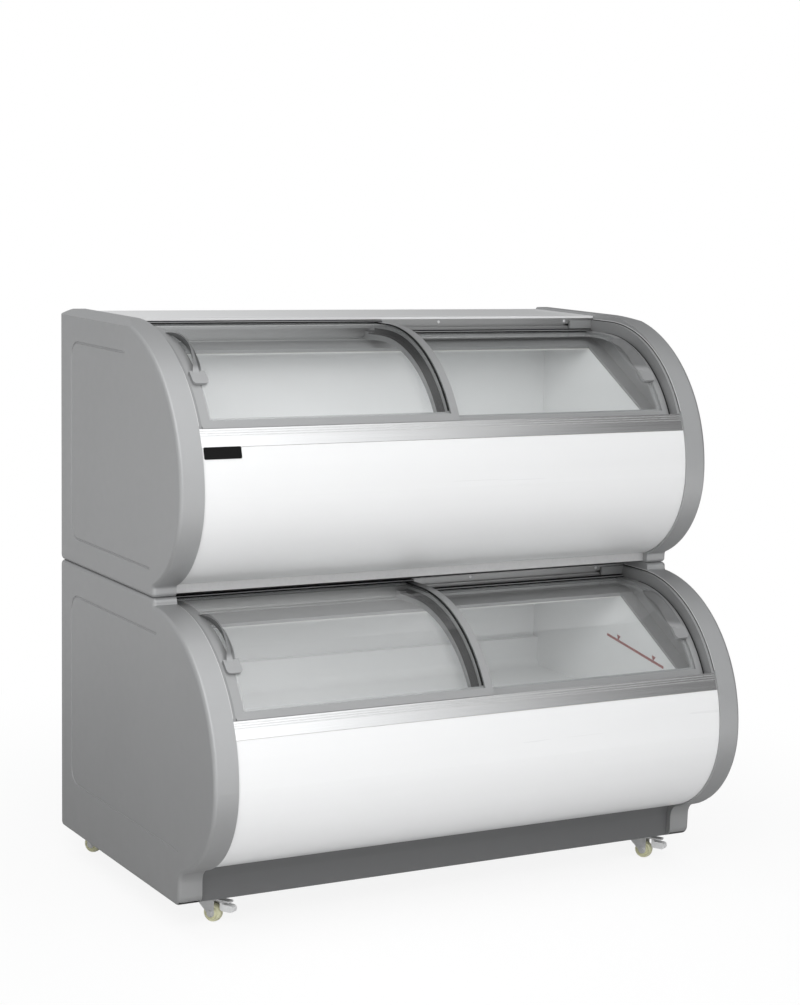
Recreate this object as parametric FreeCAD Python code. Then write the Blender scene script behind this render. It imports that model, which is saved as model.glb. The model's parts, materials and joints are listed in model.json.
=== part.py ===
import FreeCAD, Part
import math
import os
from FreeCAD import Vector

# Two-deck display freezer. Millimetres, +Z up, the front faces -Y, and the origin is on the
# floor under the middle of the whole box. Depths d are measured forward from the back plane.

# Overall sizes
OVERALL_WIDTH = 1300.0
LOWER_DEPTH = 832.0
UPPER_DEPTH = 654.0
FLOOR_GAP = 63.0
FIT = 0.3

# End panels: round front, foot below it and a raised seat on top
END_PANEL = 54.0
TOP_RADIUS = 326.0
LOW_RADIUS = 213.0
LOWER_SEAT_RISE = 15.0
UPPER_SEAT_RISE = 12.0
SEAT_CORNER = 9.0
SEAT_FILLET = 4.0
SEAT_EASE = 355.0
SHOULDER_WIDTH = 27.0
SHOULDER_DROP = 12.0
BACK_CORNER = 12.0
EDGE_ROUND = 8.0
PANEL_SKIN = 4.0
PANEL_LIP = 14.0
PANEL_LIP_DEPTH = 3.0
RIB = 3.0
RIB_PITCH = 150.0
RIB_DROP = 12.0
POCKET_ANGLE = 75.0
LOWER_SEAT_FRONT = 523.0
LOWER_FOOT_REACH = 45.0
LOWER_FOOT_FILLET = 30.0
LOWER_FOOT_HEIGHT = 50.9
LOWER_FOOT_CORNER = 20.0
UPPER_FOOT_REACH = 79.0
UPPER_FOOT_FILLET = 8.0
UPPER_FOOT_HEIGHT = 18.0
UPPER_FOOT_CORNER = 9.0

# Line pressed into the outer face of each end panel
GROOVE_RADIUS = 2.6
GROOVE_DEPTH = 2.0
GROOVE_BACK = 67.0
GROOVE_CORNER = 36.0
GROOVE_TOP_DROP = 55.0
LOWER_GROOVE_RISE = 121.0
UPPER_GROOVE_RISE = 60.0
LOWER_GROOVE_FRONT = (540.0, 660.0)
UPPER_GROOVE_FRONT = (366.0, 503.0)

# Sheet-metal skins
SHEET = 1.5
FRONT_SET = 4.0
FRONT_SHEET = 2.0
FRONT_HEM = 14.0
LOWER_FRONT_ANGLE = 69.3
UPPER_FRONT_ANGLE = 71.0
TOP_PANEL_DROP = 5.5
TOP_LIP = 5.0
PAN_RISE = 4.0
PLINTH_SET = 13.0
PLINTH_SHEET = 2.0
PLINTH_RISE = 1.5
PLINTH_RETURN = 12.0

# Lid rails
RAIL_TOP_ANGLE = 25.2
RAIL_LOW_ANGLE = 18.4
RAIL_SET = 3.0
RAIL_SKIN = 8.0
RAIL_INNER_LIP = 6.0
RAIL_FLOOR = 4.0
RAIL_RIBS = 3
RAIL_RIB_RADIUS = 1.2
RAIL_RIB_PITCH = 5.0
REAR_RAIL_BACKSET = 76.0
REAR_RAIL_THICK = 18.0
REAR_RAIL_FOOT = 10.0
SIDE_RAIL = 8.0
STOP_LENGTH = 60.0
STOP_THICK = 6.0
STOP_GAP = 2.0

# Lids: the left one of each deck runs outside the right one
LID_SET = 4.0
LID_PITCH = 25.0
LID_THICK = 12.0
LID_END_GAP = 2.0
LID_OVERLAP = 38.0
LEFT_LID_LEAD = 16.0
STILE = 25.0
LID_REAR_STRIP = 20.0
LID_REAR_LIP = 13.0
LID_REAR_RISE = 4.5
LID_LOW_STRIP = 23.0
LID_RUN_GAP = 1.2
TONGUE = 4.0
TONGUE_REACH = 8.5
LOW_TONGUE_REACH = 4.0
TRACK_GAP = 0.6
GLASS = 5.0
GLASS_SET = 0.8
GLASS_LAP = 6.0
SEAL_WIDTH = 4.0
SEAL_BACK = 5.0
SEAL_RUN_GAP = 0.4

# Lid handles: a foot on the stile and a hooked fin that leans over the finger scoop
HANDLE_TOP_ANGLE = 76.5
HANDLE_PEAK_ANGLE = 61.5
HANDLE_FOOT_ANGLE = 47.5
HANDLE_LOW_ANGLE = 43.0
HANDLE_WIDTH = 35.0
HANDLE_END_GAP = 2.0
INNER_HANDLE_END_GAP = 12.0
HANDLE_HEIGHT = 20.0
HANDLE_FOOT = 7.0
HANDLE_FOOT_CORNER = 9.0
HANDLE_FIN_BASE = 12.0
HANDLE_FIN_CREST = 3.0
HANDLE_SCOOP = 24.0
HANDLE_LEAN = 7.0

# Opening collar and tubs
COLLAR = 6.0
COLLAR_BACK_DROP = 45.0
COLLAR_EDGE_DROP = 59.0
COLLAR_EDGE_BACKSET = 25.0
COLLAR_FRONT_DROP = 7.0
COLLAR_FRONT_STRIP = 12.0
TUB_SIDE = 43.0
TUB_WALL = 3.0
TUB_BACK = 118.0
LOWER_FLOOR = 25.0
UPPER_FLOOR = -141.0
TUB_FLOOR_ROUND = 40.0
TUB_BACK_ROUND = 22.0
LOWER_LEDGE = 97.0
LOWER_LEDGE_DEPTH = 22.0
INSULATION_UNDER = 50.0
EVAPORATOR_TUBE = 4.0
EVAPORATOR_INSET = 135.0
EVAPORATOR_PITCH = 40.0
EVAPORATOR_TOP_DROP = 60.0
LOWER_PASSES = 3
UPPER_PASSES = 6

# Machine compartment
TRAY_SHEET = 2.0
TRAY_RISE = 4.0
TRAY_FLANGE = 25.0
GRILLE_SHEET = 1.2
LOUVRE_LENGTH = 150.0
LOUVRE_HEIGHT = 7.0
LOUVRE_PITCH_X = 180.0
LOUVRE_PITCH_Z = 20.0
LOUVRE_COLUMNS = 5
LOUVRE_ROWS = 8
LOUVRE_LOW = 40.0
LOUVRE_CENTRE = -110.0
COMPRESSOR_INSET = 318.0
COMPRESSOR_D = 190.0
COMPRESSOR_RADIUS = 70.0
COMPRESSOR_BOWL = 64.0
COMPRESSOR_DOME = 86.0
COMPRESSOR_SEAM = 4.0
COMPRESSOR_PLATE = 3.0
COMPRESSOR_PLATE_HALF = (100.0, 62.0)
MOUNT_INSET = 16.0
MOUNT_HEIGHT = 12.0
MOUNT_RADIUS = 13.0
MOUNT_NECK = 7.0
MOUNT_CAP = 4.0
CONDENSER_INSET = 408.0
CONDENSER_D = 40.0
CONDENSER_WIDTH = 280.0
CONDENSER_DEPTH = 55.0
CONDENSER_HEIGHT = 190.0
CONDENSER_FINS = 16
CONDENSER_FIN = 0.8
CONDENSER_ROWS = 4
CONDENSER_TUBE = 4.0
CONDENSER_END = 2.0
FAN_GAP = 12.0
FAN_PLATE = 3.0
FAN_DEPTH = 34.0
FAN_RING = 4.0
FAN_RADIUS = 72.0
FAN_TIP_GAP = 4.0
FAN_HUB = 26.0
FAN_MOTOR = 24.0
FAN_MOTOR_LENGTH = 22.0
FAN_SHAFT = 4.0
FAN_BLADES = 5
FAN_BLADE = 1.6
FAN_ROOT_CHORD = 26.0
FAN_TIP_CHORD = 40.0
FAN_ROOT_ANGLE = 42.0
FAN_TIP_ANGLE = 24.0
FAN_STRUT = 8.0
RUN_FIT = 0.05
CONTROL_INSET = 118.0
CONTROL_WIDTH = 110.0
CONTROL_D = 22.0
CONTROL_DEPTH = 64.0
CONTROL_HEIGHT = 120.0
CONTROL_WALL = 2.5
KNOB_RADIUS = 19.0
KNOB_RISE = 84.0
KNOB_LENGTH = 15.0
KNOB_SHAFT = 3.0
KNOB_SET = 1.0
KNOB_HOLE_GAP = 3.0
KNOB_FLUTES = 12
KNOB_FLUTE = 2.2
GLAND_RADIUS = 8.0
GLAND_BORE = 4.0
GLAND_RISE = 34.0
DRIER_RADIUS = 9.0
DRIER_LENGTH = 90.0
PIPE_RADIUS = 3.0
PIPE_BEND = 14.0

# Casters
FRONT_CASTER_SIDE = 40.0
REAR_CASTER_SIDE = 26.0
FRONT_CASTER_INSET = 89.0
REAR_CASTER_D = 64.0
FRONT_SWIVEL_ANGLE = 30.0
REAR_SWIVEL_ANGLE = 210.0
CASTER_TRAIL = 30.0
WHEEL_RADIUS = 20.0
WHEEL_WIDTH = 17.0
WHEEL_CROWN = 1.5
WHEEL_HUB = 9.0
WHEEL_DISH = 2.5
WHEEL_GAP = 1.0
AXLE_RADIUS = 4.0
AXLE_HEAD = 6.5
AXLE_HEAD_HEIGHT = 3.5
FORK_SHEET = 2.5
FORK_EYE = 9.0
FORK_TAIL = 14.0
FORK_NOSE = 8.0
SWIVEL_HEAD = 20.0
SWIVEL_HEIGHT = 6.0
KINGPIN_RADIUS = 5.0
CASTER_PLATE = 3.0
CASTER_PLATE_HALF = 24.0
PLATE_CORNER = 6.0
PEDAL_PIN = 2.5
PEDAL_PIN_RISE = 28.0
PEDAL_BARREL = 5.0
PEDAL_ARM = 4.0
PEDAL_TOE_REACH = 45.0
PEDAL_LOBE_BACK = 22.0
PEDAL_LOBE_FRONT = 54.0
PEDAL_LOBE_DROP = 4.0
PEDAL_LOBE_HEIGHT = 15.0
PEDAL_LOBE_ROUND = 6.0
PEDAL_WEB = 6.0

# Values that follow from the sizes above
BACK = LOWER_DEPTH / 2
HALF = OVERALL_WIDTH / 2
INNER = HALF - END_PANEL
BETWEEN = INNER - FIT
LID_SPAN = INNER - SIDE_RAIL - LID_END_GAP
TUB_HALF_WIDTH = INNER - TUB_SIDE
EVAPORATOR_HALF = TUB_HALF_WIDTH - EVAPORATOR_INSET
COMPRESSOR_X = INNER - COMPRESSOR_INSET
CONDENSER_X = CONDENSER_INSET - INNER
CONTROL_X = INNER - CONTROL_INSET
FRONT_CASTER_X = INNER - FRONT_CASTER_SIDE
REAR_CASTER_X = INNER - REAR_CASTER_SIDE


def at(x, point):
    return Vector(x, BACK - point[0], point[1])


def turned(centre, radius, angle):
    a = math.radians(angle)
    return (centre[0] + radius * math.cos(a), centre[1] + radius * math.sin(a))


class Deck:
    """One cabinet: its side profile in depth and height."""

    def __init__(self, name, bottom, depth, reach, fillet, height, corner, seat_rise):
        self.name = name
        self.bottom = bottom
        self.depth = depth
        self.foot_fillet = fillet
        self.foot_corner = corner
        self.foot_drop = math.sqrt((LOW_RADIUS + fillet) ** 2 - (reach + fillet) ** 2)
        self.belly = bottom + height + self.foot_drop
        self.low = (depth - LOW_RADIUS, self.belly)
        self.arc = (depth - TOP_RADIUS, self.belly)
        self.foot_front = self.low[0] + reach
        self.foot_centre = (self.foot_front + fillet, self.belly - self.foot_drop)
        self.foot_turn = math.degrees(math.atan2(-self.foot_drop, reach + fillet))
        self.top = self.belly + TOP_RADIUS
        self.seat = self.top + seat_rise

    def place(self, u, v):
        """Depth and height of a point given from the centre of the top arc."""
        return (self.arc[0] + u, self.arc[1] + v)

    def round(self, radius, angle):
        return turned(self.arc, radius, angle)

    def under(self, radius, angle):
        return turned(self.low, radius, angle)


LOWER = Deck("lower", FLOOR_GAP, LOWER_DEPTH, LOWER_FOOT_REACH, LOWER_FOOT_FILLET,
             LOWER_FOOT_HEIGHT, LOWER_FOOT_CORNER, LOWER_SEAT_RISE)
LOWER.seat_front = LOWER_SEAT_FRONT
LOWER.groove_rise = LOWER_GROOVE_RISE
LOWER.groove_front = LOWER_GROOVE_FRONT
LOWER.front_end = LOWER_FRONT_ANGLE
LOWER.floor = LOWER_FLOOR
LOWER.ledge = LOWER_LEDGE
LOWER.ledge_depth = LOWER_LEDGE_DEPTH
LOWER.cover = LOWER.top
LOWER.passes = LOWER_PASSES

UPPER = Deck("upper", LOWER.seat + FIT, UPPER_DEPTH, UPPER_FOOT_REACH, UPPER_FOOT_FILLET,
             UPPER_FOOT_HEIGHT, UPPER_FOOT_CORNER, UPPER_SEAT_RISE)
UPPER.groove_rise = UPPER_GROOVE_RISE
UPPER.groove_front = UPPER_GROOVE_FRONT
UPPER.front_end = UPPER_FRONT_ANGLE
UPPER.floor = UPPER_FLOOR
UPPER.ledge = None
UPPER.cover = UPPER.seat - TOP_PANEL_DROP
UPPER.passes = UPPER_PASSES

# Levels of the lids, as radii about the top arc of either deck
OUTER_LID = TOP_RADIUS - LID_SET
INNER_LID = OUTER_LID - LID_PITCH
RAIL_INNER = INNER_LID - LID_THICK - RAIL_INNER_LIP
RAIL_OUTER = TOP_RADIUS - RAIL_SET
RAIL_FACE = -REAR_RAIL_BACKSET
LID_REAR = RAIL_FACE + LID_RUN_GAP
GROOVE_REACH = TONGUE_REACH + TRACK_GAP
LOW_GROOVE_REACH = LOW_TONGUE_REACH + TRACK_GAP


def angle_of(length, radius):
    return math.degrees(length / radius)


class Outline:
    """A closed outline of lines and arcs in the depth and height plane."""

    def __init__(self, start):
        self.start = start
        self.here = start
        self.steps = []

    def line(self, *points):
        for point in points:
            if math.dist(self.here, point) > 1e-6:
                self.steps.append((self.here, None, point))
                self.here = point
        return self

    def arc(self, middle, end):
        self.steps.append((self.here, middle, end))
        self.here = end
        return self

    def sweep(self, centre, radius, a0, a1):
        """An arc about a centre, from the angle a0, where the outline is, to a1."""
        return self.arc(turned(centre, radius, (a0 + a1) / 2), turned(centre, radius, a1))

    def face(self, x):
        steps = list(self.steps)
        if math.dist(self.here, self.start) > 1e-6:
            steps.append((self.here, None, self.start))
        edges = []
        for begin, middle, end in steps:
            if middle is None:
                edges.append(Part.LineSegment(at(x, begin), at(x, end)).toShape())
            else:
                edges.append(Part.Arc(at(x, begin), at(x, middle), at(x, end)).toShape())
        return Part.Face(Part.Wire(edges))

    def prism(self, x0, x1):
        return self.face(x0).extrude(Vector(x1 - x0, 0, 0))


def block(x0, x1, d0, d1, z0, z1):
    return Part.makeBox(x1 - x0, d1 - d0, z1 - z0, Vector(x0, BACK - d1, z0))


def mirrored(shape):
    return shape.mirror(Vector(0, 0, 0), Vector(1, 0, 0))


def cylinder_x(radius, x0, x1, point):
    return Part.makeCylinder(radius, x1 - x0, at(x0, point), Vector(1, 0, 0))


def cylinder_y(radius, x, z, d0, d1):
    return Part.makeCylinder(radius, d1 - d0, Vector(x, BACK - d0, z), Vector(0, -1, 0))


def pipe(points, radius, bend):
    """A round tube along straight runs joined by tangent arcs."""
    edges = []
    here = points[0]
    for corner, after in zip(points[1:], points[2:]):
        back = (here - corner).normalize()
        ahead = (after - corner).normalize()
        half = back.getAngle(ahead) / 2
        setback = bend / math.tan(half)
        middle = (back + ahead).normalize()
        centre = corner + middle * (bend / math.sin(half))
        begin = corner + back * setback
        end = corner + ahead * setback
        edges.append(Part.LineSegment(here, begin).toShape())
        edges.append(Part.Arc(begin, centre - middle * bend, end).toShape())
        here = end
    edges.append(Part.LineSegment(here, points[-1]).toShape())
    section = Part.Wire([Part.makeCircle(radius, points[0], points[1] - points[0])])
    return Part.Wire(edges).makePipeShell([section], True, False)


def end_panel_outline(deck):
    """The whole side profile: back, seat, round front and foot."""
    r = BACK_CORNER
    low = deck.bottom
    k = math.sqrt(0.5)
    out = Outline((0, low + r)).line((0, deck.seat - r))
    out.sweep((r, deck.seat - r), r, 180, 90)
    # The upper seat eases into the round front along a wider arc, the lower one steps down to it
    if deck is UPPER:
        wider = SEAT_EASE - TOP_RADIUS
        down = wider - (deck.seat - deck.top)
        back = math.sqrt(wider ** 2 - down ** 2)
        start = math.degrees(math.atan2(down, back))
        out.line(deck.place(-back, SEAT_EASE - down))
        out.sweep(deck.place(-back, -down), SEAT_EASE, 90, start)
    else:
        front = deck.seat_front
        out.line((front - SEAT_CORNER, deck.seat))
        out.sweep((front - SEAT_CORNER, deck.seat - SEAT_CORNER), SEAT_CORNER, 90, 0)
        fillet_d = front + SEAT_FILLET
        over = fillet_d - deck.arc[0]
        rise = math.sqrt((TOP_RADIUS + SEAT_FILLET) ** 2 - over ** 2)
        start = math.degrees(math.atan2(rise, over))
        out.line((front, deck.belly + rise))
        out.sweep((fillet_d, deck.belly + rise), SEAT_FILLET, 180, 180 + start)
    out.sweep(deck.arc, TOP_RADIUS, start, 0)
    out.sweep(deck.low, LOW_RADIUS, 0, deck.foot_turn)
    out.sweep(deck.foot_centre, deck.foot_fillet, 180 + deck.foot_turn, 180)
    c = deck.foot_corner
    out.line((deck.foot_front, low + c))
    out.arc((deck.foot_front - c * (1 - k), low + c * (1 - k)), (deck.foot_front - c, low))
    out.line((r, low))
    out.sweep((r, low + r), r, 270, 180)
    return out


def pocket_outline(deck, inset):
    """The hollow behind the skin, inset from the profile and clear of the seat."""
    out = Outline((inset, deck.top - inset)).line((deck.arc[0], deck.top - inset))
    out.sweep(deck.arc, TOP_RADIUS - inset, 90, 0)
    if deck is LOWER:
        out.sweep(deck.low, LOW_RADIUS - inset, 0, deck.foot_turn)
        out.sweep(deck.foot_centre, deck.foot_fillet + inset, 180 + deck.foot_turn, 180)
        low = deck.bottom + inset
        out.line((deck.foot_front - inset, low))
    else:
        out.sweep(deck.low, LOW_RADIUS - inset, 0, -POCKET_ANGLE)
        low = out.here[1]
    return out.line((inset, low))


def groove_line(deck, x):
    """The open rounded rectangle that the pressed line follows."""
    top = deck.top - GROOVE_TOP_DROP
    low = deck.bottom + deck.groove_rise
    c = GROOVE_CORNER
    points = [at(x, p) for p in ((deck.groove_front[0], top), (GROOVE_BACK, top),
                                 (GROOVE_BACK, low), (deck.groove_front[1], low))]
    return pipe(points, GROOVE_RADIUS, c)


def shoulder(deck):
    """What is cut off beside the upper seat, so that the outer edge slopes down from it."""
    edge = HALF - SHOULDER_WIDTH
    tool = block(edge, HALF + SHOULDER_DROP, -FIT, deck.depth, deck.seat, deck.seat + SHOULDER_WIDTH)
    slope = math.degrees(math.atan2(SHOULDER_DROP, SHOULDER_WIDTH))
    tool.rotate(Vector(edge, 0, deck.seat), Vector(0, 1, 0), slope)
    return tool


def end_panel(deck):
    """Right-hand end panel: a hollow moulding with ribs and a return lip inside."""
    panel = end_panel_outline(deck).prism(INNER, HALF)
    rim = [e for e in panel.Edges if abs(e.BoundBox.XMin - HALF) < 1e-6]
    panel = panel.makeFillet(EDGE_ROUND, rim)
    if deck is UPPER:
        panel = panel.cut(shoulder(deck))
    pocket = pocket_outline(deck, PANEL_SKIN).prism(INNER + PANEL_LIP_DEPTH, HALF - PANEL_SKIN)
    mouth = pocket_outline(deck, PANEL_LIP).prism(INNER - FIT, INNER + PANEL_LIP_DEPTH)
    ribs = []
    for n in range(1, int(deck.depth / RIB_PITCH) + 1):
        d = n * RIB_PITCH
        ribs.append(block(INNER + RIB_DROP, HALF - PANEL_SKIN, d, d + RIB, deck.bottom, deck.seat))
    for n in range(1, int((deck.top - deck.bottom) / RIB_PITCH) + 1):
        z = deck.bottom + n * RIB_PITCH
        ribs.append(block(INNER + RIB_DROP, HALF - PANEL_SKIN, 0, deck.depth, z, z + RIB))
    hollow = pocket.cut(Part.makeCompound(ribs)).fuse(mouth)
    offset = GROOVE_RADIUS - GROOVE_DEPTH
    return panel.cut(hollow).cut(groove_line(deck, HALF + offset))


def front_panel(deck):
    """White front sheet with a turned-in hem along its lower edge."""
    top = TOP_RADIUS - FRONT_SET
    low = LOW_RADIUS - FRONT_SET
    start = RAIL_LOW_ANGLE - angle_of(FIT, top)
    end = -deck.front_end
    hem = low - FRONT_HEM
    back_of_hem = end + angle_of(FRONT_SHEET, hem)
    out = Outline(deck.round(top, start)).sweep(deck.arc, top, start, 0)
    out.sweep(deck.low, low, 0, end)
    out.line(deck.under(hem, end), deck.under(hem, back_of_hem))
    out.line(deck.under(low - FRONT_SHEET, back_of_hem))
    out.sweep(deck.low, low - FRONT_SHEET, back_of_hem, 0)
    out.sweep(deck.arc, top - FRONT_SHEET, 0, start)
    return out.prism(-BETWEEN, BETWEEN)


def tracks():
    """Inner and outer radius of the two lid tracks, the inner one first."""
    pairs = []
    for lid in (INNER_LID, OUTER_LID):
        middle = lid - LID_THICK + TONGUE / 2
        reach = TONGUE / 2 + TRACK_GAP
        pairs.append((middle - reach, middle + reach))
    return pairs


def front_rail(deck):
    """Extruded front rail: two tracks on top and a ribbed skirt."""
    top = RAIL_TOP_ANGLE
    floor_drop = LOW_GROOVE_REACH + RAIL_FLOOR
    out = Outline(deck.round(RAIL_INNER, top))
    for r0, r1 in tracks():
        out.line(deck.round(r0, top), deck.round(r0, top - angle_of(LOW_GROOVE_REACH, r0)))
        out.line(deck.round(r1, top - angle_of(LOW_GROOVE_REACH, r1)), deck.round(r1, top))
    out.line(deck.round(RAIL_OUTER, top))
    out.sweep(deck.arc, RAIL_OUTER, top, RAIL_LOW_ANGLE)
    inner = RAIL_OUTER - RAIL_SKIN
    under = top - angle_of(floor_drop, inner)
    out.line(deck.round(inner, RAIL_LOW_ANGLE))
    out.sweep(deck.arc, inner, RAIL_LOW_ANGLE, under)
    out.line(deck.round(RAIL_INNER, under))
    rail = out.prism(-BETWEEN, BETWEEN)
    for n in range(RAIL_RIBS):
        a = top - angle_of((n + 1) * RAIL_RIB_PITCH, RAIL_OUTER)
        rail = rail.cut(cylinder_x(RAIL_RIB_RADIUS, -HALF, HALF, deck.round(RAIL_OUTER, a)))
    return rail


def rear_rail_foot():
    return INNER_LID - LID_THICK - REAR_RAIL_FOOT


def rear_rail(deck):
    """Extruded rear rail with the two tracks in its front face."""
    out = Outline(deck.place(RAIL_FACE, rear_rail_foot()))
    for r0, r1 in tracks():
        out.line(deck.place(RAIL_FACE, r0), deck.place(RAIL_FACE - GROOVE_REACH, r0))
        out.line(deck.place(RAIL_FACE - GROOVE_REACH, r1), deck.place(RAIL_FACE, r1))
    top = deck.cover - SHEET - FIT - deck.belly
    back = RAIL_FACE - REAR_RAIL_THICK
    out.line(deck.place(RAIL_FACE, top), deck.place(back, top), deck.place(back, rear_rail_foot()))
    return out.prism(-BETWEEN, BETWEEN)


def collar_line():
    """Top line of the opening collar: rear edge, break and front edge, from the arc centre."""
    rear = (RAIL_FACE + FIT, TOP_RADIUS - COLLAR_BACK_DROP)
    brk = (-COLLAR_EDGE_BACKSET, TOP_RADIUS - COLLAR_EDGE_DROP)
    a = math.radians(RAIL_TOP_ANGLE)
    front = (RAIL_INNER * math.cos(a) - FIT, RAIL_INNER * math.sin(a) - COLLAR_FRONT_DROP)
    return rear, brk, front


def collar_under():
    """Underside of the collar, square to its sloping part."""
    rear, brk, front = collar_line()
    drop = COLLAR * math.dist(brk, front) / (front[0] - brk[0])
    return [(u, v - drop) for u, v in (rear, brk, front)]


def slope_at(u, line):
    (u0, v0), (u1, v1) = line[1], line[2]
    return v0 + (v1 - v0) * (u - u0) / (u1 - u0)


def tub_front():
    return collar_line()[2][0] - COLLAR_FRONT_STRIP


def collar(deck):
    """Bent frame round the opening, sloping down to the front."""
    rear, brk, front = collar_line()
    under = collar_under()
    points = [deck.place(*p) for p in (rear, brk, front, under[2], under[1], under[0])]
    frame = Outline(points[0]).line(*points[1:]).prism(-BETWEEN, BETWEEN)
    mouth = block(-TUB_HALF_WIDTH, TUB_HALF_WIDTH, deck.place(brk[0], 0)[0],
                  deck.place(tub_front(), 0)[0], deck.belly, deck.seat)
    return frame.cut(mouth)


def side_rail(deck):
    """Right-hand end wall of the lid opening, between collar and lid."""
    rear, brk, front = collar_line()
    gap = angle_of(FIT, RAIL_INNER)
    a = RAIL_TOP_ANGLE + gap
    foot_u = front[0] - FIT
    out = Outline(deck.place(rear[0], OUTER_LID)).line(deck.place(0, OUTER_LID))
    out.sweep(deck.arc, OUTER_LID, 90, a)
    out.line(deck.round(RAIL_INNER, a))
    out.line(deck.place(foot_u, slope_at(foot_u, collar_line()) + FIT))
    out.line(deck.place(brk[0], brk[1] + FIT), deck.place(rear[0], rear[1] + FIT))
    return out.prism(INNER - SIDE_RAIL, BETWEEN)


def track_stop(deck, low, high):
    """Right-hand end stop: fills the end of one track in front of the rear rail."""
    face = RAIL_FACE + FIT
    out = Outline(deck.place(face, low)).line(
        deck.place(face + STOP_THICK, low), deck.place(face + STOP_THICK, high),
        deck.place(face, high))
    end = INNER - SIDE_RAIL - FIT
    return out.prism(end - STOP_LENGTH, end)


def track_stops():
    solids = []
    for deck in (LOWER, UPPER):
        solids.append(track_stop(deck, INNER_LID + LID_REAR_RISE + STOP_GAP, OUTER_LID))
        inner = track_stop(deck, INNER_LID - LID_THICK + STOP_GAP, OUTER_LID - LID_THICK - STOP_GAP)
        solids.append(mirrored(inner))
    return Part.makeCompound(solids)


def rounded_corner(out, corner, before, after, radius):
    """A right-angled corner of an outline, rounded, between two neighbouring points."""
    def toward(p):
        length = math.dist(corner, p)
        return ((p[0] - corner[0]) / length, (p[1] - corner[1]) / length)
    a = toward(before)
    b = toward(after)
    begin = (corner[0] + a[0] * radius, corner[1] + a[1] * radius)
    end = (corner[0] + b[0] * radius, corner[1] + b[1] * radius)
    bulge = radius * (1 - math.sqrt(0.5))
    middle = (corner[0] + (a[0] + b[0]) * bulge, corner[1] + (a[1] + b[1]) * bulge)
    out.line(begin)
    out.arc(middle, end)


def tub_outline(deck, grow, roof, mouth):
    """Side section of a tub, its walls moved out by grow. mouth gives its sloping top line."""
    front = tub_front() + grow
    back = TUB_BACK - deck.arc[0] - grow
    low = deck.floor - grow
    corners = [deck.place(*p) for p in ((front, slope_at(front, mouth)), (front, low))]
    if deck.ledge is None:
        corners += [deck.place(back, low)]
    else:
        step = back + deck.ledge_depth
        ledge = deck.ledge - grow
        corners += [deck.place(step, low), deck.place(step, ledge), deck.place(back, ledge)]
    edge = mouth[1]
    corners += [deck.place(back, roof), deck.place(edge[0], roof), deck.place(*edge)]
    out = Outline(corners[0])
    rounds = {1: TUB_FLOOR_ROUND + grow, 2: TUB_BACK_ROUND + grow}
    for n in range(1, len(corners)):
        if n in rounds:
            rounded_corner(out, corners[n], corners[n - 1], corners[n + 1], rounds[n])
        else:
            out.line(corners[n])
    return out


def tub_levels():
    """Sloping lines of the tub's rim and of the clear mouth above it, and its roof."""
    under = collar_under()
    rim = [(u, v - FIT) for u, v in under]
    clear = [(u - TUB_WALL, v + TOP_RADIUS) for u, v in under]
    roof = rim[1][1]
    return rim, clear, roof


def liner(deck):
    """White tub: one thin-walled moulding, open along its sloping rim."""
    rim, clear, roof = tub_levels()
    outside = tub_outline(deck, TUB_WALL, roof, rim)
    inside = tub_outline(deck, 0, roof - TUB_WALL, clear)
    outer = outside.prism(-TUB_HALF_WIDTH - TUB_WALL, TUB_HALF_WIDTH + TUB_WALL)
    return outer.cut(inside.prism(-TUB_HALF_WIDTH, TUB_HALF_WIDTH))


def skin_back():
    """Depth of the inner face of the back sheet."""
    return FIT + SHEET


def insulation_low(deck):
    """Height of the underside of the foam."""
    if deck is LOWER:
        return deck.belly + deck.floor - TUB_WALL - INSULATION_UNDER
    return deck.bottom + PAN_RISE + SHEET + FIT


def front_hem(deck):
    """Inner edge of the hem along the bottom of the front sheet."""
    return deck.under(LOW_RADIUS - FRONT_SET - FRONT_HEM, -deck.front_end)


def evaporator_box(deck):
    """Low and high end and inner depth of the coil behind the tub."""
    top = deck.belly + TOP_RADIUS - COLLAR_EDGE_DROP - EVAPORATOR_TOP_DROP
    low = top - (deck.passes - 1) * EVAPORATOR_PITCH
    return low, top, TUB_BACK - TUB_WALL - FIT


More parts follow.
